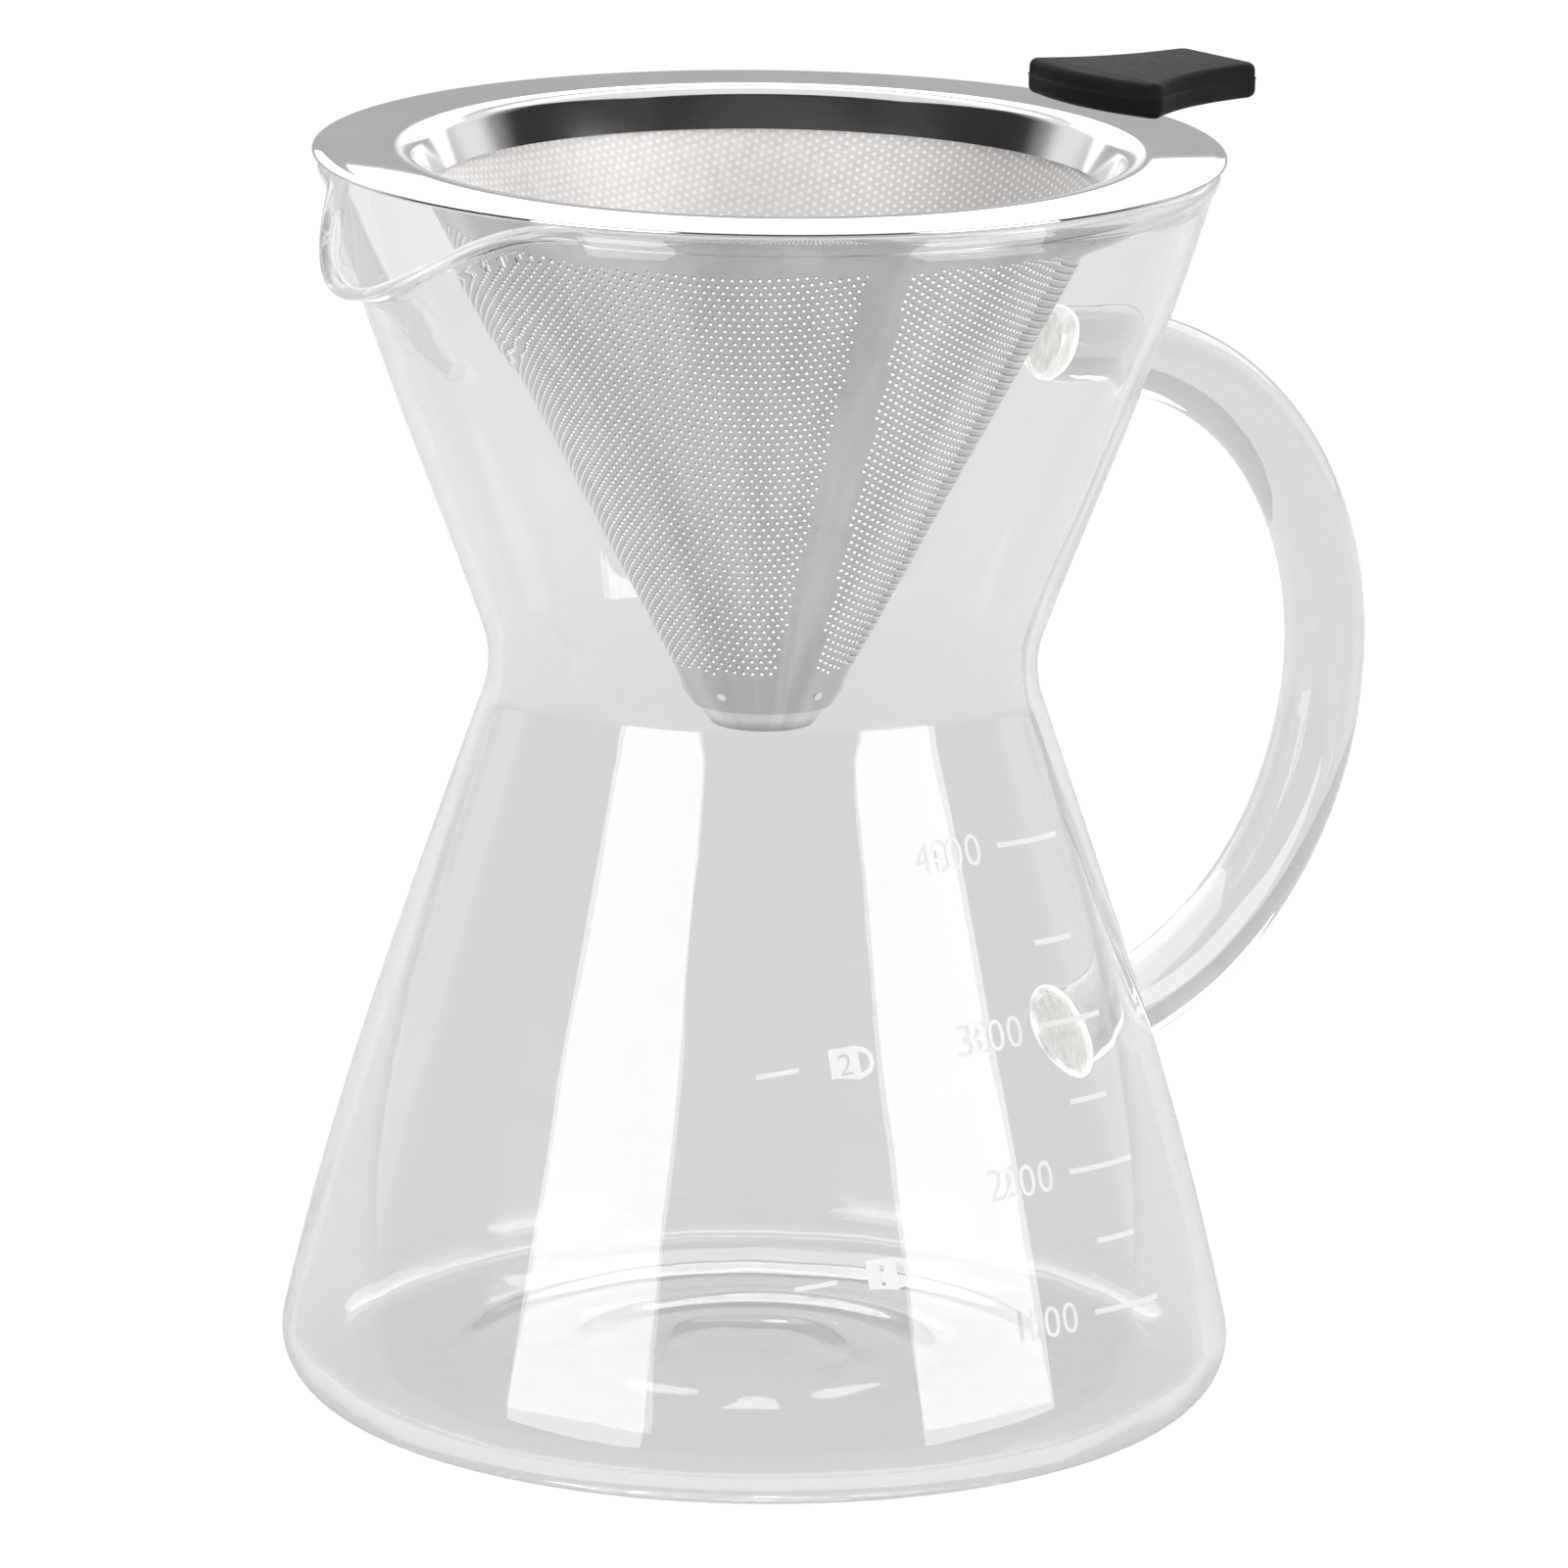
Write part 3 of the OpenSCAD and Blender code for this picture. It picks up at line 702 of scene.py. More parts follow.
# The rings stand up most on the side away from the camera, and this share of it on the near side
RINGS_TOWARD, RINGS_LEAST = math.radians(51.5), 0.05
# The floor that the rings are worked into ends below this height
FLOOR_TOP = 8
# Unevenness of the lower inside wall: height, count round the axis and start of each wave
WALL_WAVES = ((0.10, 3, 1), (0.07, 8, 0.4), (0.04, 17, 0))
# Height where it is strongest, how far it fades up and down from there, and where it ends
# upwards and inwards
WAVES_Z, WAVES_FADE, WAVES_TOP, WAVES_INNER_R = 8, 6, 30, 35


def inner_wall():
    """Inside of the wall, parallel to the outside, with a thicker floor and corner."""
    outside = np.array(OUTER_WALL)
    inward = across(ways_along(outside))
    inward[0] = (0, 1)
    low_share = np.clip((FOOT_EXTRA_TOP - outside[:, 1]) / FOOT_EXTRA_TOP, 0, 1)
    thick = WALL + FOOT_EXTRA * low_share ** 1.5
    made = outside + inward * thick[:, None]
    floor = made[(made[:, 0] < FLOOR_EDGE_R) & (outside[:, 1] < FLOOR_EDGE_Z)]
    side = made[len(floor):]
    fine_r = np.linspace(0, floor[-1, 0], 80)
    fine = np.stack([fine_r, np.interp(fine_r, floor[:, 0], floor[:, 1])], 1)
    return [tuple(p) for p in np.vstack([fine, side])]


def waves(turn, parts):
    """Sum of waves round the axis, each with its height, count and start."""
    return sum(height * np.sin(count * turn + start) for height, count, start in parts)


def push_out(co, factor):
    """Moves points away from the axis, each by its factor."""
    co[:, 0] *= factor
    co[:, 1] *= factor


def work_floor(co):
    """Raises the rings of the floor and gives the lower inside wall a hand-made unevenness."""
    co = co.copy()
    r = np.hypot(co[:, 0], co[:, 1])
    turn = np.arctan2(co[:, 1], co[:, 0])
    floor = (r < FLOOR_EDGE_R + 1) & (co[:, 2] > PUNT_RISE + 0.1) & (co[:, 2] < FLOOR_TOP)
    side = RINGS_LEAST + (1 - RINGS_LEAST) / 2 * (1 + np.cos(turn - RINGS_TOWARD))
    for k, (ring_r, height, half) in enumerate(FLOOR_RINGS):
        sway = waves(turn, ((0.5, 2, 1.3 * k), (0.25, 5, 2.1 * k)))
        tall = height * side * (1 + 0.25 * np.sin(turn + 0.9 * k))
        raised = tall * np.exp(-((r - ring_r - sway) / half) ** 2)
        co[:, 2] += np.where(floor, raised, 0)
    z = co[:, 2]
    inside = (r < wall_r(z) - WALL / 2) & (z > FLOOR_EDGE_Z) & (z < WAVES_TOP) & (r > WAVES_INNER_R)
    uneven = waves(turn, WALL_WAVES) * np.exp(-((z - WAVES_Z) / WAVES_FADE) ** 2)
    push_out(co, 1 + np.where(inside, uneven, 0) / np.maximum(r, 1))
    return co


# The spout, by the same rule as the solid's: half-angle, reach and dip of the lip
SPOUT_HALF, SPOUT_REACH, SPOUT_DIP = 27.5, 8.2, 8.4
# How far under the rim the drawn wall starts beside the spout and in its middle
SPOUT_EDGE, SPOUT_KEEL = 3.2, 19.8
# The curve from keel to lip turns at this share of its rise, this share of the way out
SPOUT_TURN_UP, SPOUT_TURN_OUT = 0.85, 0.28


def swell(u):
    """How far the spout swells out, by the turn of u from -1 to 1 across it."""
    return (1 + np.cos(np.pi * np.clip(u, -1, 1))) / 2


def lip_r(s):
    return RIM_WALL_R + SPOUT_REACH * s ** 1.25


def lip_z(s):
    return RIM_MID_Z + BEAD / 2 * (1 - s) - (SPOUT_DIP - BEAD / 2) * s ** 2


def keel_z(s):
    return RIM_MID_Z - SPOUT_EDGE - (SPOUT_KEEL - BEAD / 2 - SPOUT_EDGE) * s ** 0.7


def draw_spout(co):
    """Pulls the wall out into the spout: every point above the keel slides onto a curve
    from the wall to the lip."""
    co = co.copy()
    r = np.hypot(co[:, 0], co[:, 1])
    z = co[:, 2].copy()
    u = np.degrees(np.arctan2(co[:, 1], -co[:, 0])) / SPOUT_HALF
    s = swell(u)
    low_z = keel_z(s)
    share = (z - low_z) / (RIM_MID_Z - low_z)
    t = np.clip(share, 0, 1)
    low = np.stack([wall_r(low_z), low_z], 1)
    lip = np.stack([lip_r(s), lip_z(s) - BEAD / 2], 1)
    turn_z = low[:, 1] + (lip[:, 1] - low[:, 1]) * SPOUT_TURN_UP
    turn_r = wall_r(turn_z)
    turn = np.stack([turn_r + (lip[:, 0] - turn_r) * SPOUT_TURN_OUT, turn_z], 1)
    curve = (1 - t)[:, None] ** 2 * low + (2 * t * (1 - t))[:, None] * turn + t[:, None] ** 2 * lip
    straight_z = low_z + t * (RIM_MID_Z - low_z)
    straight = np.stack([wall_r(straight_z), straight_z], 1)
    drawn = (np.abs(u) < 1) & (share > 0)
    shift = (curve - straight) * drawn[:, None]
    push_out(co, 1 + shift[:, 0] / np.maximum(r, 1))
    co[:, 2] = z + shift[:, 1]
    return co


# How far under the bead's middle the wall's outside and inside stop
OUTSIDE_STOP, INSIDE_STOP = 1.4, 1.6
# Half the angle round the spout that is turned in finer steps, and the steps there and elsewhere
FINE_HALF, FINE_STEPS, WIDE_STEPS = 30, 84, 186
# Angles between which the rim's bead is round
BEAD_FROM, BEAD_TO = -28, 212


def blow_glass_body():
    outside = [p for p in OUTER_WALL if p[1] < RIM_MID_Z - OUTSIDE_STOP]
    inside = [p for p in inner_wall() if p[1] < RIM_MID_Z - INSIDE_STOP]
    bead = arc((RIM_R - BEAD / 2, RIM_MID_Z), BEAD / 2, BEAD_FROM, BEAD_TO, 16)
    sweeps = ((180 - FINE_HALF, 180 + FINE_HALF, FINE_STEPS), (180 + FINE_HALF, 540 - FINE_HALF, WIDE_STEPS))
    piece = lathe("glass_body_blown", outside + bead + inside[::-1], sweeps, closed=False)
    put_points(piece, draw_spout(work_floor(points_of(piece))) * MM)
    smooth(piece, 50)
    give(piece, GLASS)
    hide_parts("glass_body")
    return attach(piece, "carafe")


# Handle, in mm

ROD_R = 4.7
REACH, MID_Z = 83.4, 73.8
# Radius of each bend, and how far the rod runs round it
UPPER_R, UPPER_RUN = 38.8, 52.8165
LOWER_R, LOWER_RUN = 40.4, 56.3955
JOINT_AROUND, JOINT_STEPS = 56, 13
SEAT_GAP = 0.03
# Rings that close the rod's end, and those on the neck's mottled face and on its seat, as shares
# of the last radius
END_PARTS = (0.9, 0.72, 0.48, 0.24)
FACE_PARTS = (0.25, 0.5, 0.72, 0.86, 0.95, 1.0)
SEAT_PARTS = (1.0, 0.9, 0.7, 0.45, 0.2)
# Each fused neck: radius of the rod's end, length of the neck, widest radius and radius on the wall
UPPER_NECK = (4.15, 2.3, 4.45, 3.5)
LOWER_NECK = (5.45, 1.1, 5.9, 5.3)
# By how much of its radius the rod is thinner here and there
ROD_UNEVEN = 0.012
# The neck bulges along this share of its length
NECK_BULGE = 0.7


def rod_bend(radius, side, angles):
    """Middle of the rod as (x, z) round one bend, on the upper side 1 or the lower side -1."""
    return [(REACH - radius + radius * math.cos(a), MID_Z + side * radius * math.sin(a)) for a in angles]


def handle_bends():
    """Middle line of the bent rod, from the start of the upper joint to the start of the lower one."""
    upper = rod_bend(UPPER_R, 1, np.linspace(UPPER_RUN / UPPER_R, 0, 44))
    lower = rod_bend(LOWER_R, -1, np.linspace(0, LOWER_RUN / LOWER_R, 46)[1:])
    return np.array(upper + lower)


def joint_starts():
    """Start and way of each joint, from the ends of the bends."""
    bends = handle_bends()
    made = []
    for turn, side, point in ((UPPER_RUN / UPPER_R, 1, bends[0]), (LOWER_RUN / LOWER_R, -1, bends[-1])):
        made.append((point, np.array([-math.sin(turn), side * math.cos(turn)])))
    return made


def in_space(flat):
    """A place or way in the rod's plane (x, z) as one in space."""
    return np.array([flat[0], 0, flat[1]])


def ring_at(middle, way, radius):
    """A ring of points round a middle (x, z) of the rod, across its way."""
    a = np.linspace(0, 2 * math.pi, JOINT_AROUND, endpoint=False)
    side = np.array([-way[1], way[0]])
    flat = np.array(middle)[None] + side[None] * (radius * np.cos(a))[:, None]
    return np.stack([flat[:, 0], radius * np.sin(a), flat[:, 1]], 1)


def reach_wall(ring, way, gap):
    """How far each point of a ring goes along the way until it is a gap off the blown wall."""
    low, high = np.zeros(len(ring)), np.full(len(ring), 40.0)
    for _ in range(30):
        half = (low + high) / 2
        p = ring + in_space(way)[None] * half[:, None]
        outside = np.hypot(p[:, 0], p[:, 1]) > wall_r(p[:, 2]) + gap
        low, high = np.where(outside, half, low), np.where(outside, high, half)
    return low


def lay_on_wall(ring, way, gap):
    """A ring moved along the way until each point is a gap off the blown wall."""
    return ring + in_space(way)[None] * reach_wall(ring, way, gap)[:, None]


def middle_on_wall(start, way, gap):
    return lay_on_wall(in_space(start)[None], way, gap)[0]


def joint_rings(start, way, end_r, gap):
    """Rings from the rod to its fused neck, the last ones lying along the wall, and the face's middle."""
    far = reach_wall(ring_at(start, way, end_r), way, gap)
    rings = []
    for i in range(JOINT_STEPS + 1):
        radius = ROD_R + (end_r - ROD_R) * (i / JOINT_STEPS) ** 1.5
        share = (i / JOINT_STEPS) ** 0.8
        rings.append(ring_at(start, way, radius) + in_space(way)[None] * (far * share)[:, None])
    for part in END_PARTS:
        rings.append(lay_on_wall(ring_at(start, way, end_r * part), way, gap))
    return rings, middle_on_wall(start, way, gap)


def ring_faces(rings, around):
    """Faces between closed rings of points, numbered one ring after another."""
    faces = []
    for start in range(0, (rings - 1) * around, around):
        for k in range(around):
            a, b = start + k, start + (k + 1) % around
            faces.append((a, b, b + around, a + around))
    return faces


def skin(name, rings, first_tip, last_tip):
    """Joins rings of points in turn and closes both ends on a point."""
    around = len(rings[0])
    points = np.vstack(rings + [first_tip[None], last_tip[None]])
    faces = ring_faces(len(rings), around)
    first = len(rings) * around
    base = first - around
    for k in range(around):
        following = (k + 1) % around
        faces.append((first, following, k))
        faces.append((first + 1, base + k, base + following))
    return from_lists(name, points * MM, faces)


def draw_rod():
    """The bent rod with both its ends, which are drawn down or spread out to the fused necks."""
    bends = handle_bends()
    ways = ways_along(bends)
    (top, top_way), (low, low_way) = joint_starts()
    top_rings, top_tip = joint_rings(top, top_way, UPPER_NECK[0], UPPER_NECK[1] + 2 * SEAT_GAP)
    low_rings, low_tip = joint_rings(low, low_way, LOWER_NECK[0], LOWER_NECK[1] + 2 * SEAT_GAP)
    half_turn = (-np.arange(JOINT_AROUND) + JOINT_AROUND // 2) % JOINT_AROUND
    rings = [ring[half_turn] for ring in top_rings[::-1]]
    for i in range(1, len(bends) - 1):
        along = math.pi * i / len(bends)
        sway = math.sin(along) * (1 - math.sin(7.0 * along + 0.6)) / 2
        rings.append(ring_at(bends[i], ways[i], ROD_R * (1 - ROD_UNEVEN * sway)))
    piece = skin("handle_rod_drawn", rings + low_rings, top_tip, low_tip)
    close_up(piece)
    smooth(piece, 60)
    give(piece, ROD_GLASS)
    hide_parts("handle_rod")
    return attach(piece, "carafe")


def fuse_neck(name, node, start, way, sizes):
    """The fused neck between a rod end and the wall, with a mottled face in it that glows with painted light
    and a rounded edge with a painted highlight."""
    end_r, length, wide_r, seat_r = sizes

    def level(radius, gap):
        return lay_on_wall(ring_at(start, way, radius), way, gap)

    rings = [level(end_r * part, length) for part in FACE_PARTS]
    face_rings = len(FACE_PARTS)
    for part in np.linspace(0.06, 0.94, 9):
        bulge = math.sin(math.pi * (part / NECK_BULGE)) ** 0.7 if part < NECK_BULGE else 0
        radius = end_r + (seat_r - end_r) * part + (wide_r - end_r) * bulge
        rings.append(level(radius, length + (SEAT_GAP - length) * part))
    rings += [level(seat_r * part, SEAT_GAP) for part in SEAT_PARTS]
    piece = skin(name, rings, middle_on_wall(start, way, length), middle_on_wall(start, way, SEAT_GAP))
    give(piece, ROD_GLASS, FUSED, FUSED_EDGE)
    for face in piece.data.polygons:
        ring = min(face.vertices) // JOINT_AROUND
        face.material_index = 1 if ring < face_rings - 3 else 2 if ring < face_rings + 2 else 0
    close_up(piece)
    smooth(piece, 60)
    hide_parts(node)
    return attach(piece, "carafe")


def fuse_necks():
    (top, top_way), (low, low_way) = joint_starts()
    fuse_neck("upper_joint_fused", "upper_handle_joint", top, top_way, UPPER_NECK)
    fuse_neck("lower_joint_fused", "lower_handle_joint", low, low_way, LOWER_NECK)


# Printed scale, in mm and degrees

PRINT_SIDE, PRINT_TILT, PRINT_LIFT = -90, 0.26, 0.06
# The chamber's wall leans, so heights on it come out a little shorter
PRINT_UPRIGHT = 0.985
NUMBER_H, NUMBER_W, NUMBER_STEP = 3.35, 2.15, 2.64
# The digit in a cup, and how far it lies from the cup's middle
DIGIT_H, DIGIT_W, DIGIT_SHIFT = 2.25, 1.5, (0.05, 0, 0.02)
# How the numerals are drawn: height of capitals in the plain face, by how much of their height
# the strokes are thinned, half their thickness, and how far a narrow one may be widened
CAPITALS_SHARE, STROKE_THINNED, DIGIT_HALF_T, WIDENED_AT_MOST = 0.72, 0.006, 0.04, 1.4
# Each number, with the angle of its right end and its height
NUMBERS = (("400", -85.5, 68.1), ("300", -84.8, 48.85), ("200", -84.4, 33.4), ("100", -84.3, 18.25))


def round_wall(length, z):
    """Degrees round the chamber's wall that a length takes up at a height."""
    return math.degrees(length / float(wall_r(z)))


def wrap_print(piece, angle, z):
    """Lays a flat print, drawn with its middle at the origin, on the chamber's wall. It tilts more
    the further it is from the side that the scale faces."""
    co = points_of(piece)
    x, y = turned(co[:, 0], co[:, 1], math.radians((PRINT_SIDE - angle) * PRINT_TILT))
    up = z + y * PRINT_UPRIGHT
    a = np.radians(angle) + x / float(wall_r(z))
    r = wall_r(up) + PRINT_LIFT + co[:, 2]
    put_points(piece, np.stack([r * np.cos(a), r * np.sin(a), up], 1) * MM)
    return piece


def number(text, height, width, step=0):
    """Plain numerals of a height, width and step, as one flat mesh with its middle at the origin."""
    made = []
    for k, digit in enumerate(text):
        deselect_all()
        bpy.ops.object.text_add(location=(0, 0, 0))
        letters = bpy.context.object.data
        letters.body = digit
        letters.align_x = "CENTER"
        letters.align_y = "CENTER"
        letters.size = height / CAPITALS_SHARE
        letters.resolution_u = 6
        letters.offset = -STROKE_THINNED * height
        letters.extrude = DIGIT_HALF_T
        bpy.ops.object.convert(target="MESH")
        piece = bpy.context.object
        co = points_of(piece)
        low, high = co.min(0), co.max(0)
        co -= (low + high) / 2
        co[:, 1] *= height / (high[1] - low[1])
        co[:, 0] *= min(width / (high[0] - low[0]), WIDENED_AT_MOST)
        co[:, 0] += (k - (len(text) - 1) / 2) * step
        made.append(put_points(piece, co))
    return join(made)


def join(made):
    take(made[0])
    for piece in made:
        piece.select_set(True)
    if len(made) > 1:
        bpy.ops.object.join()
    return close_up(bpy.context.object, 1e-5)


def print_numbers():
    made = []
    for text, right_end, z in NUMBERS:
        half = NUMBER_STEP * (len(text) - 1) / 2 + NUMBER_W / 2
        angle = right_end - round_wall(half, z)
        made.append(wrap_print(number(text, NUMBER_H, NUMBER_W, NUMBER_STEP), angle, z))
    piece = join(made)
    piece.name = "scale_numbers"
    give(piece, ENAMEL)
    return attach(piece, "carafe")


CUP_W, CUP_H, CUP_CORNER = 3.3, 3.6, 0.28
EAR_W, EAR_H, EAR_HOLE_W, EAR_HOLE_H = 1.65, 3.3, 1.15, 2.2
PRINT_T = 0.05
# The level lines: half their length, their width and how far round they are
CUP_LINE_HALF, LINE_W, CUP_ARC = 4.7 / 2, 0.5, 26.2
# Gap from a line to its cup, and how much higher the cup sits
CUP_GAP, CUP_RISE = 3.4, 0.8
TWO_CUPS_Z, ONE_CUP_Z = 46.8, 46.8 * 0.53


def slab(name, outline, thick, base=0.0):
    """A flat plate with that outline, thick upwards from the base."""
    n = len(outline)
    points = [(x, y, z) for z in (base, base + thick) for x, y in outline]
    faces = [tuple(range(n))[::-1], tuple(range(n, 2 * n))] + ring_faces(2, n)
    return from_lists(name, points, faces)


def half_ear(width, height):
    angles = np.linspace(-math.pi / 2, math.pi / 2, 16)
    return [(CUP_W / 2 + width * math.cos(a), height / 2 * math.sin(a)) for a in angles]


def cut_out(piece, tool):
    """Takes the tool's shape out of a piece and removes the tool."""
    take(piece)
    bpy.ops.object.modifier_add(type="BOOLEAN")
    cut = piece.modifiers[-1]
    cut.operation = "DIFFERENCE"
    cut.solver = "EXACT"
    cut.object = tool
    bpy.ops.object.modifier_apply(modifier=cut.name)
    take(tool)
    bpy.ops.object.delete()
    return piece


def cup_sign(digit):
    """A cup seen from the side with a digit left bare in it, and its ear. Its lower left corner is
    nicked and its upper left one is rounded."""
    side, up = CUP_W / 2, CUP_H / 2
    nick = arc((CUP_CORNER - side, CUP_CORNER - up), CUP_CORNER, 180, 90, 3)
    rounding = arc((CUP_CORNER - side, up - CUP_CORNER), CUP_CORNER, 90, 180, 3)
    ear = [(side, -EAR_H / 2)] + half_ear(EAR_W, EAR_H)[1:-1] + [(side, EAR_H / 2)]
    piece = slab("cup_sign_" + digit, nick + [(side, -up)] + ear + [(side, up)] + rounding, PRINT_T)
    cut_out(piece, slab("ear_hole", half_ear(EAR_HOLE_W, EAR_HOLE_H), 0.4, -0.2))
    bare = number(digit, DIGIT_H, DIGIT_W)
    put_points(bare, points_of(bare) * (1, 1, 6) + DIGIT_SHIFT)
    return cut_out(piece, bare)


def print_cups():
    """Both level lines for cups, each with its cup sign."""
    made = []
    low_side = [(CUP_LINE_HALF * x / 8, -LINE_W / 2) for x in range(-8, 9)]
    line = low_side + [(x, -y) for x, y in low_side[::-1]]
    for digit, z in (("2", TWO_CUPS_Z), ("1", ONE_CUP_Z)):
        angle = PRINT_SIDE - round_wall(CUP_ARC, z)
        sign_angle = angle + round_wall(CUP_LINE_HALF + CUP_GAP + CUP_W / 2, z)
        made.append(wrap_print(slab("cup_line_" + digit, line, PRINT_T), angle, z))
        made.append(wrap_print(cup_sign(digit), sign_angle, z + CUP_RISE))
    piece = join(made)
    piece.name = "cup_marks_printed"
    give(piece, ENAMEL)
    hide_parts("cup_marks")
    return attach(piece, "carafe")


# Filter measures, in mm

CONE_LOW_Z, CONE_LOW_R, CONE_SLOPE = 79.05, 7.8, (40.3 - 7.8) / 61.1
CONE_HALF = math.atan(CONE_SLOPE)
CONE_SIN, CONE_COS = math.sin(CONE_HALF), math.cos(CONE_HALF)
BRIM_Z, BRIM_TOP, BRIM_R = 140.15, 140.7, 50.3
SHEET_T, MESH_T, COLLAR_T, TIP_T = 0.25, 0.2, 0.4, 0.4
ACROSS = 1 / CONE_COS
BRIM_HALF_T = 0.275
BEND_R = 1.4
# How far the collar hangs down under the brim, and the slant of its end: in, down and back up
COLLAR_H, COLLAR_END = 4.1, (0.25, 0.05, 0.12)
# Where the brim's faces leave the flat, from its edge inwards or from its bend outwards, and how far
UNDER_EDGE, UNDER_BEND = (1.6, 0.08), (2, 0.05)
TOP_BEND, TOP_EDGE, TOP_DIP = 1.5, 2.2, (1.1, 0.012)
TIP_LAP_Z = 82.35
SEAM_ANGLE = -108.0
PITCH = 1.0
HOLE_R, PIT_DEPTH = 0.25, 0.2
# A pit's side that faces the axis more than this gets the painted glint, and the others painted shade
GLINT_FACING = -0.3


def cone_r(z):
    """Outer radius of the punched cone at a height."""
    return CONE_LOW_R + (z - CONE_LOW_Z) * CONE_SLOPE


MESH_IN = (SHEET_T + MESH_T) * ACROSS
BEND_SWEEP = 90 - math.degrees(CONE_HALF)
BEND_RUN = BEND_R * math.tan(math.radians(BEND_SWEEP / 2))
BEND_MID_R = cone_r(BRIM_Z) - MESH_IN + BEND_RUN
SHEET_TOP = BRIM_Z - BEND_RUN * CONE_COS - SHEET_T


def spin_brim():
    """The brim in one sheet: nearly flat, rolled round at its edge and bent down into the collar."""
    low_z = BRIM_Z - COLLAR_H
    low_r = cone_r(low_z) - MESH_IN
    edge_r = BRIM_R - BRIM_HALF_T
    middle = (BEND_MID_R, BRIM_Z - BEND_R)
    under = [(edge_r - UNDER_EDGE[0], BRIM_Z + UNDER_EDGE[1])]
    under.append((BEND_MID_R + UNDER_BEND[0], BRIM_Z + UNDER_BEND[1]))
    outer_bend = arc(middle, BEND_R, 90, 90 + BEND_SWEEP, 10)
    inwards, down, back = COLLAR_END
    collar_end = [(low_r, low_z), (low_r - inwards, low_z - down), (low_r - COLLAR_T * ACROSS, low_z + back)]
    inner_bend = arc(middle, BEND_R + 2 * BRIM_HALF_T, 90 + BEND_SWEEP, 90, 12)
    top = [(BEND_MID_R + TOP_BEND, BRIM_TOP), (edge_r - TOP_EDGE, BRIM_TOP)]
    top.append((edge_r - TOP_DIP[0], BRIM_TOP - TOP_DIP[1]))
    edge = arc((edge_r, BRIM_Z + BRIM_HALF_T), BRIM_HALF_T, 90, -90, 8)
    outline = under + outer_bend + collar_end + inner_bend + top + edge
    piece = lathe("filter_brim_pressed", outline, ((0, 360, 240),))
    put_points(piece, points_of(piece) * MM)
    smooth(piece, 40)
    give(piece, POLISHED)
    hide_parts("filter_brim")
    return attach(piece, "filter")


# Flat pattern of the cone's sheet, before it is rolled. A place on it is known by its distance from the
# cone's point and by its turn, half of which lies on either side of the middle.
S_LOW, S_TOP = CONE_LOW_R / CONE_SIN, cone_r(SHEET_TOP) / CONE_SIN
HALF_SHEET = math.pi * CONE_SIN
# The rows of holes slant by this many degrees from the sheet's edge, and lie between two heights
ROW_SLANT, HOLES_LOW_Z, HOLES_TOP_Z = 6.6, 83.4, 134.2
ROWS_TURN = -HALF_SHEET + math.radians(ROW_SLANT)
HOLES_LOW_S, HOLES_TOP_S = cone_r(HOLES_LOW_Z) / CONE_SIN, cone_r(HOLES_TOP_Z) / CONE_SIN
SEAM_HALF = 1.9
ROW_RISE = PITCH * math.sqrt(3) / 2
# Corners of neighbouring cells nearer than this are one
SAME_CORNER = 0.02
# Steps along the sheet's low and top edges, and points along its sides
EDGE_STEPS, SIDE_POINTS = 420, 88


def on_sheet(s, turns):
    """Flat points at a distance from the cone's point, by their turns."""
    return np.stack([s * np.cos(turns), s * np.sin(turns)], 1)


def rolled(flat, depth):
    """Rolls flat points into the cone, at a depth under its outside. Turns start at the seam."""
    s = np.hypot(flat[:, 0], flat[:, 1])
    around = np.arctan2(flat[:, 1], flat[:, 0]) / CONE_SIN + math.radians(SEAM_ANGLE) + math.pi
    r = s * CONE_SIN
    z = CONE_LOW_Z + (r - CONE_LOW_R) / CONE_SLOPE + depth * CONE_SIN
    r = r - depth * CONE_COS
    return np.stack([r * np.cos(around), r * np.sin(around), z], 1)


def hole_centres():
    """Centres of the staggered holes that clear the seam and both plain bands, as columns and rows and
    as flat points. Their rows are turned from the sheet's edge."""
    reach = int(S_TOP / PITCH) + 4
    steps = np.arange(-reach, reach + 1)
    columns, rows = np.meshgrid(steps, steps, indexing="ij")
    x, y = turned((columns + 0.5 * (rows % 2)) * PITCH, rows * ROW_RISE, ROWS_TURN)
    s = np.hypot(x, y)
    turn = np.abs(np.arctan2(y, x))
    to_edge = s * np.sin(np.clip(HALF_SHEET - turn, 0, math.pi / 2))
    in_band = (s > HOLES_LOW_S + PITCH / 2) & (s < HOLES_TOP_S - PITCH / 2)
    keep = in_band & (turn < HALF_SHEET) & (to_edge > SEAM_HALF + PITCH / 2)
    return columns[keep], rows[keep], np.stack([x[keep], y[keep]], 1)


def in_field(points, columns, rows):
    """True where a flat point lies in one of the punched cells."""
    x, y = turned(points[:, 0], points[:, 1], -ROWS_TURN)
    punched = set(zip(columns.tolist(), rows.tolist()))
    made = np.zeros(len(points), bool)
    for k in range(len(points)):
        near = []
        nearest_row = int(round(y[k] / ROW_RISE))
        for row in (nearest_row - 1, nearest_row, nearest_row + 1):
            shift = 0.5 * (row % 2)
            column = int(round(x[k] / PITCH - shift))
            away = (x[k] - (column + shift) * PITCH) ** 2 + (y[k] - row * ROW_RISE) ** 2
            near.append((away, row, column))
        _, row, column = min(near)
        made[k] = (column, row) in punched
    return made


def share_corners(corners):
    """Each corner that cells share once, and the numbers of every cell's six corners."""
    places = np.round(corners / SAME_CORNER).astype(int)
    _, first, numbers = np.unique(places, return_index=True, return_inverse=True, axis=0)
    return corners[first], numbers.reshape(-1, 6)


def used_once(sides):
    """The sides that only one cell has, which are the outline of the punched field."""
    _, at, count = np.unique(np.sort(sides, 1), return_index=True, return_counts=True, axis=0)
    return sides[at[count == 1]]


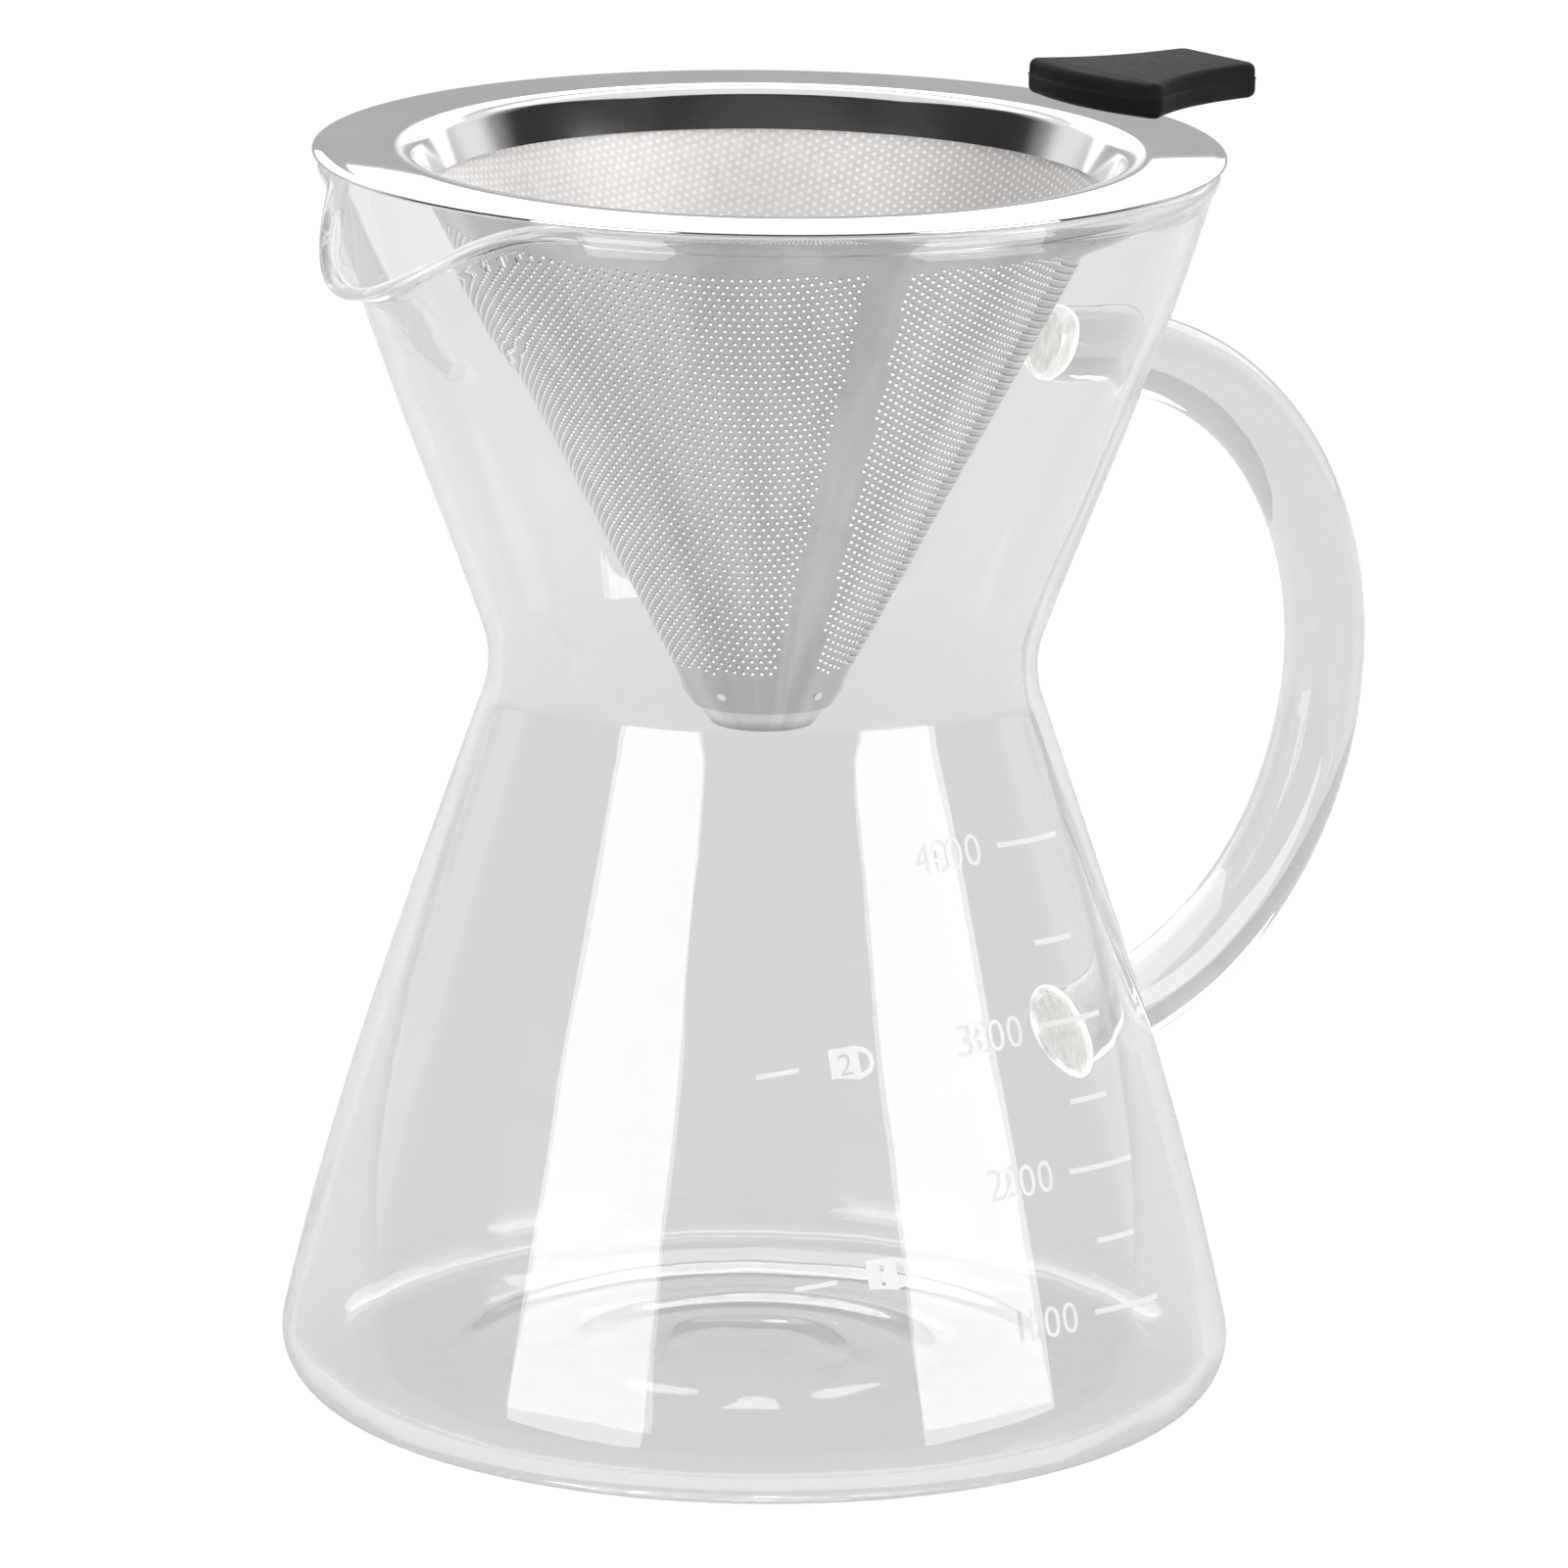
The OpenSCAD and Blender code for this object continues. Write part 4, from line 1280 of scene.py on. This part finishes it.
def sheet_border():
    """Border of the flat sheet: the low edge, one side, the top edge back and the other side."""
    turns = np.linspace(-HALF_SHEET, HALF_SHEET, EDGE_STEPS + 1)
    rises = np.linspace(S_LOW, S_TOP, SIDE_POINTS + 2)[1:-1]
    side = np.stack([rises * math.cos(HALF_SHEET), rises * math.sin(HALF_SHEET)], 1)
    other_side = side * (1, -1)
    return np.vstack([on_sheet(S_LOW, turns), side, on_sheet(S_TOP, turns)[::-1], other_side[::-1]])


def fill_bands(corners, outline, first_new, columns, rows):
    """Fills the sheet between the punched field and its border: the new points, the triangles
    and the number of each point of the border."""
    border = sheet_border()
    used = np.unique(outline)
    at = {int(corner): i for i, corner in enumerate(used)}
    points = [Vector(p) for p in corners[used]] + [Vector(p) for p in border]
    edges = [(at[int(a)], at[int(b)]) for a, b in outline]
    edges += [(len(used) + i, len(used) + (i + 1) % len(border)) for i in range(len(border))]
    made, _, faces, came_from, _, _ = delaunay_2d_cdt(points, edges, [], 1, 1e-7)
    made = np.array([tuple(p) for p in made])
    triangles = np.array([tuple(face) for face in faces if len(face) == 3])
    triangles = triangles[~in_field(made[triangles].mean(1), columns, rows)]
    numbers = np.empty(len(made), int)
    new, border_at = [], {}
    for i, origins in enumerate(came_from):
        if origins and origins[0] < len(used):
            numbers[i] = used[origins[0]]
        else:
            numbers[i] = first_new + len(new)
            new.append(made[i])
            for origin in origins:
                border_at[origin - len(used)] = numbers[i]
    return np.array(new), numbers[triangles], border_at


def inside_faces(first, border_at):
    """The sheet's plain inner side, joined to the outside along its low and top edges."""
    width = EDGE_STEPS + 1
    top_end = width + SIDE_POINTS + EDGE_STEPS
    faces = []
    for k in range(EDGE_STEPS):
        low, middle, top = first + k, first + width + k, first + 2 * width + k
        faces.append((low, middle, middle + 1, low + 1))
        faces.append((middle, top, top + 1, middle + 1))
        faces.append((border_at[k], low, low + 1, border_at[k + 1]))
        faces.append((border_at[top_end - k], border_at[top_end - k - 1], top + 1, top))
    return faces


def punch_cone():
    """The perforated sheet: hexagonal cells with a pit in each, the plain bands round them filled in,
    and all rolled up."""
    columns, rows, centres = hole_centres()
    cells = len(centres)
    angles = ROWS_TURN + math.radians(30) + np.arange(6) * math.pi / 3
    six = np.stack([np.cos(angles), np.sin(angles)], 1)
    corners, numbers = share_corners((centres[:, None] + six * PITCH / math.sqrt(3)).reshape(-1, 2))
    rims = (centres[:, None] + six * HOLE_R).reshape(-1, 2)
    first_rim = len(corners) + np.arange(cells) * 6
    bottoms = len(corners) + len(rims) + np.arange(cells)
    sides, sheet, pits = [], [], []
    for k in range(6):
        following = (k + 1) % 6
        sides.append(np.stack([numbers[:, k], numbers[:, following]], 1))
        sheet.append(np.hstack([sides[-1], np.stack([first_rim + following, first_rim + k], 1)]))
        pits.append(np.stack([first_rim + k, first_rim + following, bottoms], 1))
    outline = used_once(np.vstack(sides))
    flat = np.vstack([corners, rims, centres])
    new, bands, border_at = fill_bands(corners, outline, len(flat), columns, rows)
    depth = np.zeros(len(flat) + len(new))
    depth[bottoms] = PIT_DEPTH
    layers = [rolled(np.vstack([flat, new]), depth)]
    turns = np.linspace(-HALF_SHEET, HALF_SHEET, EDGE_STEPS + 1)
    for s in (S_LOW, (S_LOW + S_TOP) / 2, S_TOP):
        layers.append(rolled(on_sheet(s, turns), SHEET_T))
    outside_faces = [face[::-1] for block in sheet + pits + [bands] for face in block.tolist()]
    faces = outside_faces + inside_faces(len(layers[0]), border_at)
    piece = from_lists("outer_cone_punched", np.vstack(layers) * MM, faces)
    give(piece, PUNCHED, PIT_PAINTED_SHADE, PIT_PAINTED_GLINT)
    # Painted light: pit sides facing the axis get a glowing painted glint, the others a dark painted shade
    facing = np.cos((angles + math.radians(30))[:, None] - np.arctan2(centres[:, 1], centres[:, 0])[None])
    looks = np.zeros(len(faces), np.int32)
    looks[6 * cells:12 * cells] = np.where(facing.ravel() < GLINT_FACING, 2, 1)
    piece.data.polygons.foreach_set("material_index", looks)
    close_up(piece, 2e-7, outwards=False)
    smooth(piece, 28)
    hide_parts("outer_cone")
    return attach(piece, "filter")


# Steps of the woven cone round the axis and up, and its gap to the punched one
WEAVE_AROUND, WEAVE_RISES, WEAVE_PLAY = 180, 24, 0.01


def roll_mesh():
    """The woven cone inside the punched one, with its flat pattern as its map."""
    width = WEAVE_AROUND + 1
    turns = np.linspace(-HALF_SHEET, HALF_SHEET, width)
    points, flat, faces = [], [], []
    for depth in (SHEET_T + WEAVE_PLAY, SHEET_T + MESH_T):
        for z in np.linspace(TIP_LAP_Z, SHEET_TOP, WEAVE_RISES + 1):
            flat.append(on_sheet(cone_r(z) / CONE_SIN, turns))
            points.append(rolled(flat[-1], depth))
    shell = width * (WEAVE_RISES + 1)
    for i in range(WEAVE_RISES):
        for k in range(WEAVE_AROUND):
            a = i * width + k
            b = shell + a
            faces.append((a, a + 1, a + 1 + width, a + width))
            faces.append((b, b + width, b + 1 + width, b + 1))
    for k in range(WEAVE_AROUND):
        a = WEAVE_RISES * width + k
        faces.append((k, shell + k, shell + k + 1, k + 1))
        faces.append((a, a + 1, shell + a + 1, shell + a))
    piece = from_lists("inner_cone_woven", np.vstack(points) * MM, faces)
    loops = np.empty(len(piece.data.loops), int)
    piece.data.loops.foreach_get("vertex_index", loops)
    flat = np.vstack(flat)
    own = np.stack(turned(flat[:, 0], flat[:, 1], -ROWS_TURN), 1) + (PITCH / 2, ROW_RISE)
    piece.data.uv_layers.new(name="sheet").data.foreach_set("uv", (own * MM)[loops].ravel())
    close_up(piece)
    smooth(piece, 40)
    give(piece, WOVEN)
    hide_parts("inner_mesh_cone")
    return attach(piece, "filter")


TIP_Z, TIP_FLAT_R = 76.25, 4.6
# Radius of the tip's rounding and of its middle, outside and inside, and where it meets the wall
TIP_BEND_R, TIP_BEND_MID_R = 0.75, 5.15
TIP_INNER_R, TIP_INNER_MID_R = 0.42, 5.1
TIP_WALL_ANGLE, TIP_FLOOR_T = -32, 0.43
# Gap between the tip cup and the punched sheet that it sits in
TIP_PLAY = 0.01


def press_tip_cup():
    low_r, top_r = [cone_r(z) - SHEET_T * ACROSS - TIP_PLAY for z in (CONE_LOW_Z, TIP_LAP_Z)]
    wall = TIP_T * ACROSS
    floor_z = TIP_Z + TIP_FLOOR_T
    under = [(0, TIP_Z), (TIP_FLAT_R, TIP_Z)]
    under += arc((TIP_BEND_MID_R, TIP_Z + TIP_BEND_R), TIP_BEND_R, -90, TIP_WALL_ANGLE, 5)
    sides = [(low_r, CONE_LOW_Z), (top_r, TIP_LAP_Z)]
    sides += [(top_r - wall, TIP_LAP_Z), (low_r - wall, CONE_LOW_Z + 0.1)]
    inside = arc((TIP_INNER_MID_R, floor_z + TIP_INNER_R), TIP_INNER_R, TIP_WALL_ANGLE, -90, 4)
    inside.append((0, floor_z))
    piece = lathe("tip_cup_pressed", under + sides + inside, closed=False)
    put_points(piece, points_of(piece) * MM)
    smooth(piece)
    give(piece, TIP_STEEL)
    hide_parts("tip_cup")
    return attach(piece, "filter")


# Silicone grip, in mm

GRIP_START, GRIP_L = 45.5, 20.1
GRIP_IN, GRIP_OUT, GRIP_T = 22.4, 13.4, 4.0
GRIP_CORNER, GRIP_BULGE, GRIP_EDGE = 1.5, 1.4, 0.9
# How fast the grip gets narrower behind its wide end, and the steps along its side
GRIP_TAPER, GRIP_SIDE_STEPS = 2.4, 24
GRIP_Z = BRIM_TOP + 0.1
# The mould's parting line, in steps: how far each stands out and how high it is from the line's middle.
# From the last one up, the grip stands out that far less.
PARTING_Z, TOP_OUT = 2.2, -0.06
PARTING = ((0.0, -0.16), (0.1, 0.0), (-0.02, 0.12), (TOP_OUT, 0.2))


def grip_plan():
    """Outline of the grip seen from above, widest and bulging inwards where it meets the brim."""
    inner, outer = GRIP_IN / 2, GRIP_OUT / 2
    start, run = GRIP_START + GRIP_CORNER, GRIP_L - 2 * GRIP_CORNER
    half = arc((start, inner - GRIP_CORNER), GRIP_CORNER, 180, 90, 7)
    for i in range(1, GRIP_SIDE_STEPS):
        share = i / GRIP_SIDE_STEPS
        half.append((start + run * share, outer + (inner - outer) * (1 - share) ** GRIP_TAPER))
    half += arc((start + run, outer - GRIP_CORNER), GRIP_CORNER, 90, 0, 7)
    flat = inner - GRIP_CORNER
    edge = np.linspace(-flat, flat, 17)[1:-1]
    bulge = [(GRIP_START - GRIP_BULGE * (1 - (y / flat) ** 2), y) for y in edge]
    return np.array(half + [(x, -y) for x, y in half[::-1]] + bulge)


def mould_grip():
    """The grip, with rounded edges and a fine parting line round it."""
    plan = grip_plan()
    outwards = across(ways_along(plan, closed=True))
    levels = arc((-GRIP_EDGE, GRIP_EDGE), GRIP_EDGE, -90, 0, 5)
    levels += [(out, PARTING_Z + up) for out, up in PARTING]
    levels += arc((TOP_OUT - GRIP_EDGE, GRIP_T - GRIP_EDGE), GRIP_EDGE, 0, 90, 6)
    points = []
    for out, up in levels:
        points += [(x, y, GRIP_Z + up) for x, y in plan + outwards * out]
    last = (len(levels) - 1) * len(plan)
    faces = ring_faces(len(levels), len(plan))
    faces += [tuple(range(len(plan)))[::-1], tuple(range(last, last + len(plan)))]
    piece = from_lists("silicone_grip_moulded", np.array(points) * MM, faces)
    close_up(piece)
    smooth(piece, 50)
    give(piece, SILICONE)
    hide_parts("silicone_grip")
    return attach(piece, "filter")


def dress_nodes(names, material):
    """Gives solids that stay in view their material."""
    for name in names:
        piece = nodes[name]
        if not piece.material_slots:
            piece.data.materials.append(material)
        for slot in piece.material_slots:
            slot.material = material


# Build

def set_render():
    scene = bpy.context.scene
    scene.view_settings.view_transform = "Standard"
    scene.view_settings.look = "None"
    scene.cycles.max_bounces = 24
    scene.cycles.transmission_bounces = 24
    scene.cycles.glossy_bounces = 10
    scene.cycles.transparent_max_bounces = 24
    scene.cycles.use_denoising = True
    scene.cycles.caustics_reflective = False
    scene.cycles.caustics_refractive = True
    scene.cycles.sample_clamp_indirect = 8


set_camera()
set_render()
studio_world()
lay_floor()
# Each lamp: azimuth, elevation and distance, width and height, and watts
soft_box("left_soft_box", -42.5, 17.5, 1.0, 0.62, 0.66, 6.1)
soft_box("right_soft_box", 57.5, 17.0, 1.0, 0.64, 0.66, 6.3)
soft_box("overhead_wash", 180, 84, 2.2, 3.6, 3.0, 30.0)
soft_box("back_panel", 180, 26.67, 1.2, 2.0, 0.55, 4.9, turn=2.2, through_glass=False)
soft_box("high_panel", 180, 37.0, 1.2, 1.6, 0.5, 9.0, in_mirror=False)

GLASS = blown_glass()
ROD_GLASS = rod_glass()
FUSED = fused_glass()
FUSED_EDGE = fused_edge()
ENAMEL = white_enamel()
POLISHED = polished_steel()
SATIN = satin_steel()[0]
TONGUE = tongue_steel()
TIP_STEEL = tip_steel()
PUNCHED = satin_steel("punched_steel", (0.55, 0.54, 0.537), (0.70, 0.688, 0.684), (0.19, 0.27))[0]
# Painted shade and painted glint for the pits' sides
PIT_PAINTED_SHADE = hole_side("hole_painted_shade", 0.10, 0.0)
PIT_PAINTED_GLINT = hole_side("hole_painted_glint", 0.92, 0.30)
# A painted glint for the welds on the tip
WELD_PAINTED_GLINT = hole_side("weld_painted_glint", 0.80, 0.04)
WOVEN = woven_mesh()
SILICONE = black_silicone()

blow_glass_body()
draw_rod()
fuse_necks()
dress_nodes(["millilitre_marks"], ENAMEL)
print_numbers()
print_cups()
spin_brim()
punch_cone()
roll_mesh()
press_tip_cup()
# The tip's welds show as bright dots of painted glint
dress_nodes(["tip_welds"], WELD_PAINTED_GLINT)
dress_nodes(["collar_welds"], SATIN)
dress_nodes(["tongue_welds", "tab_tongue"], TONGUE)
mould_grip()
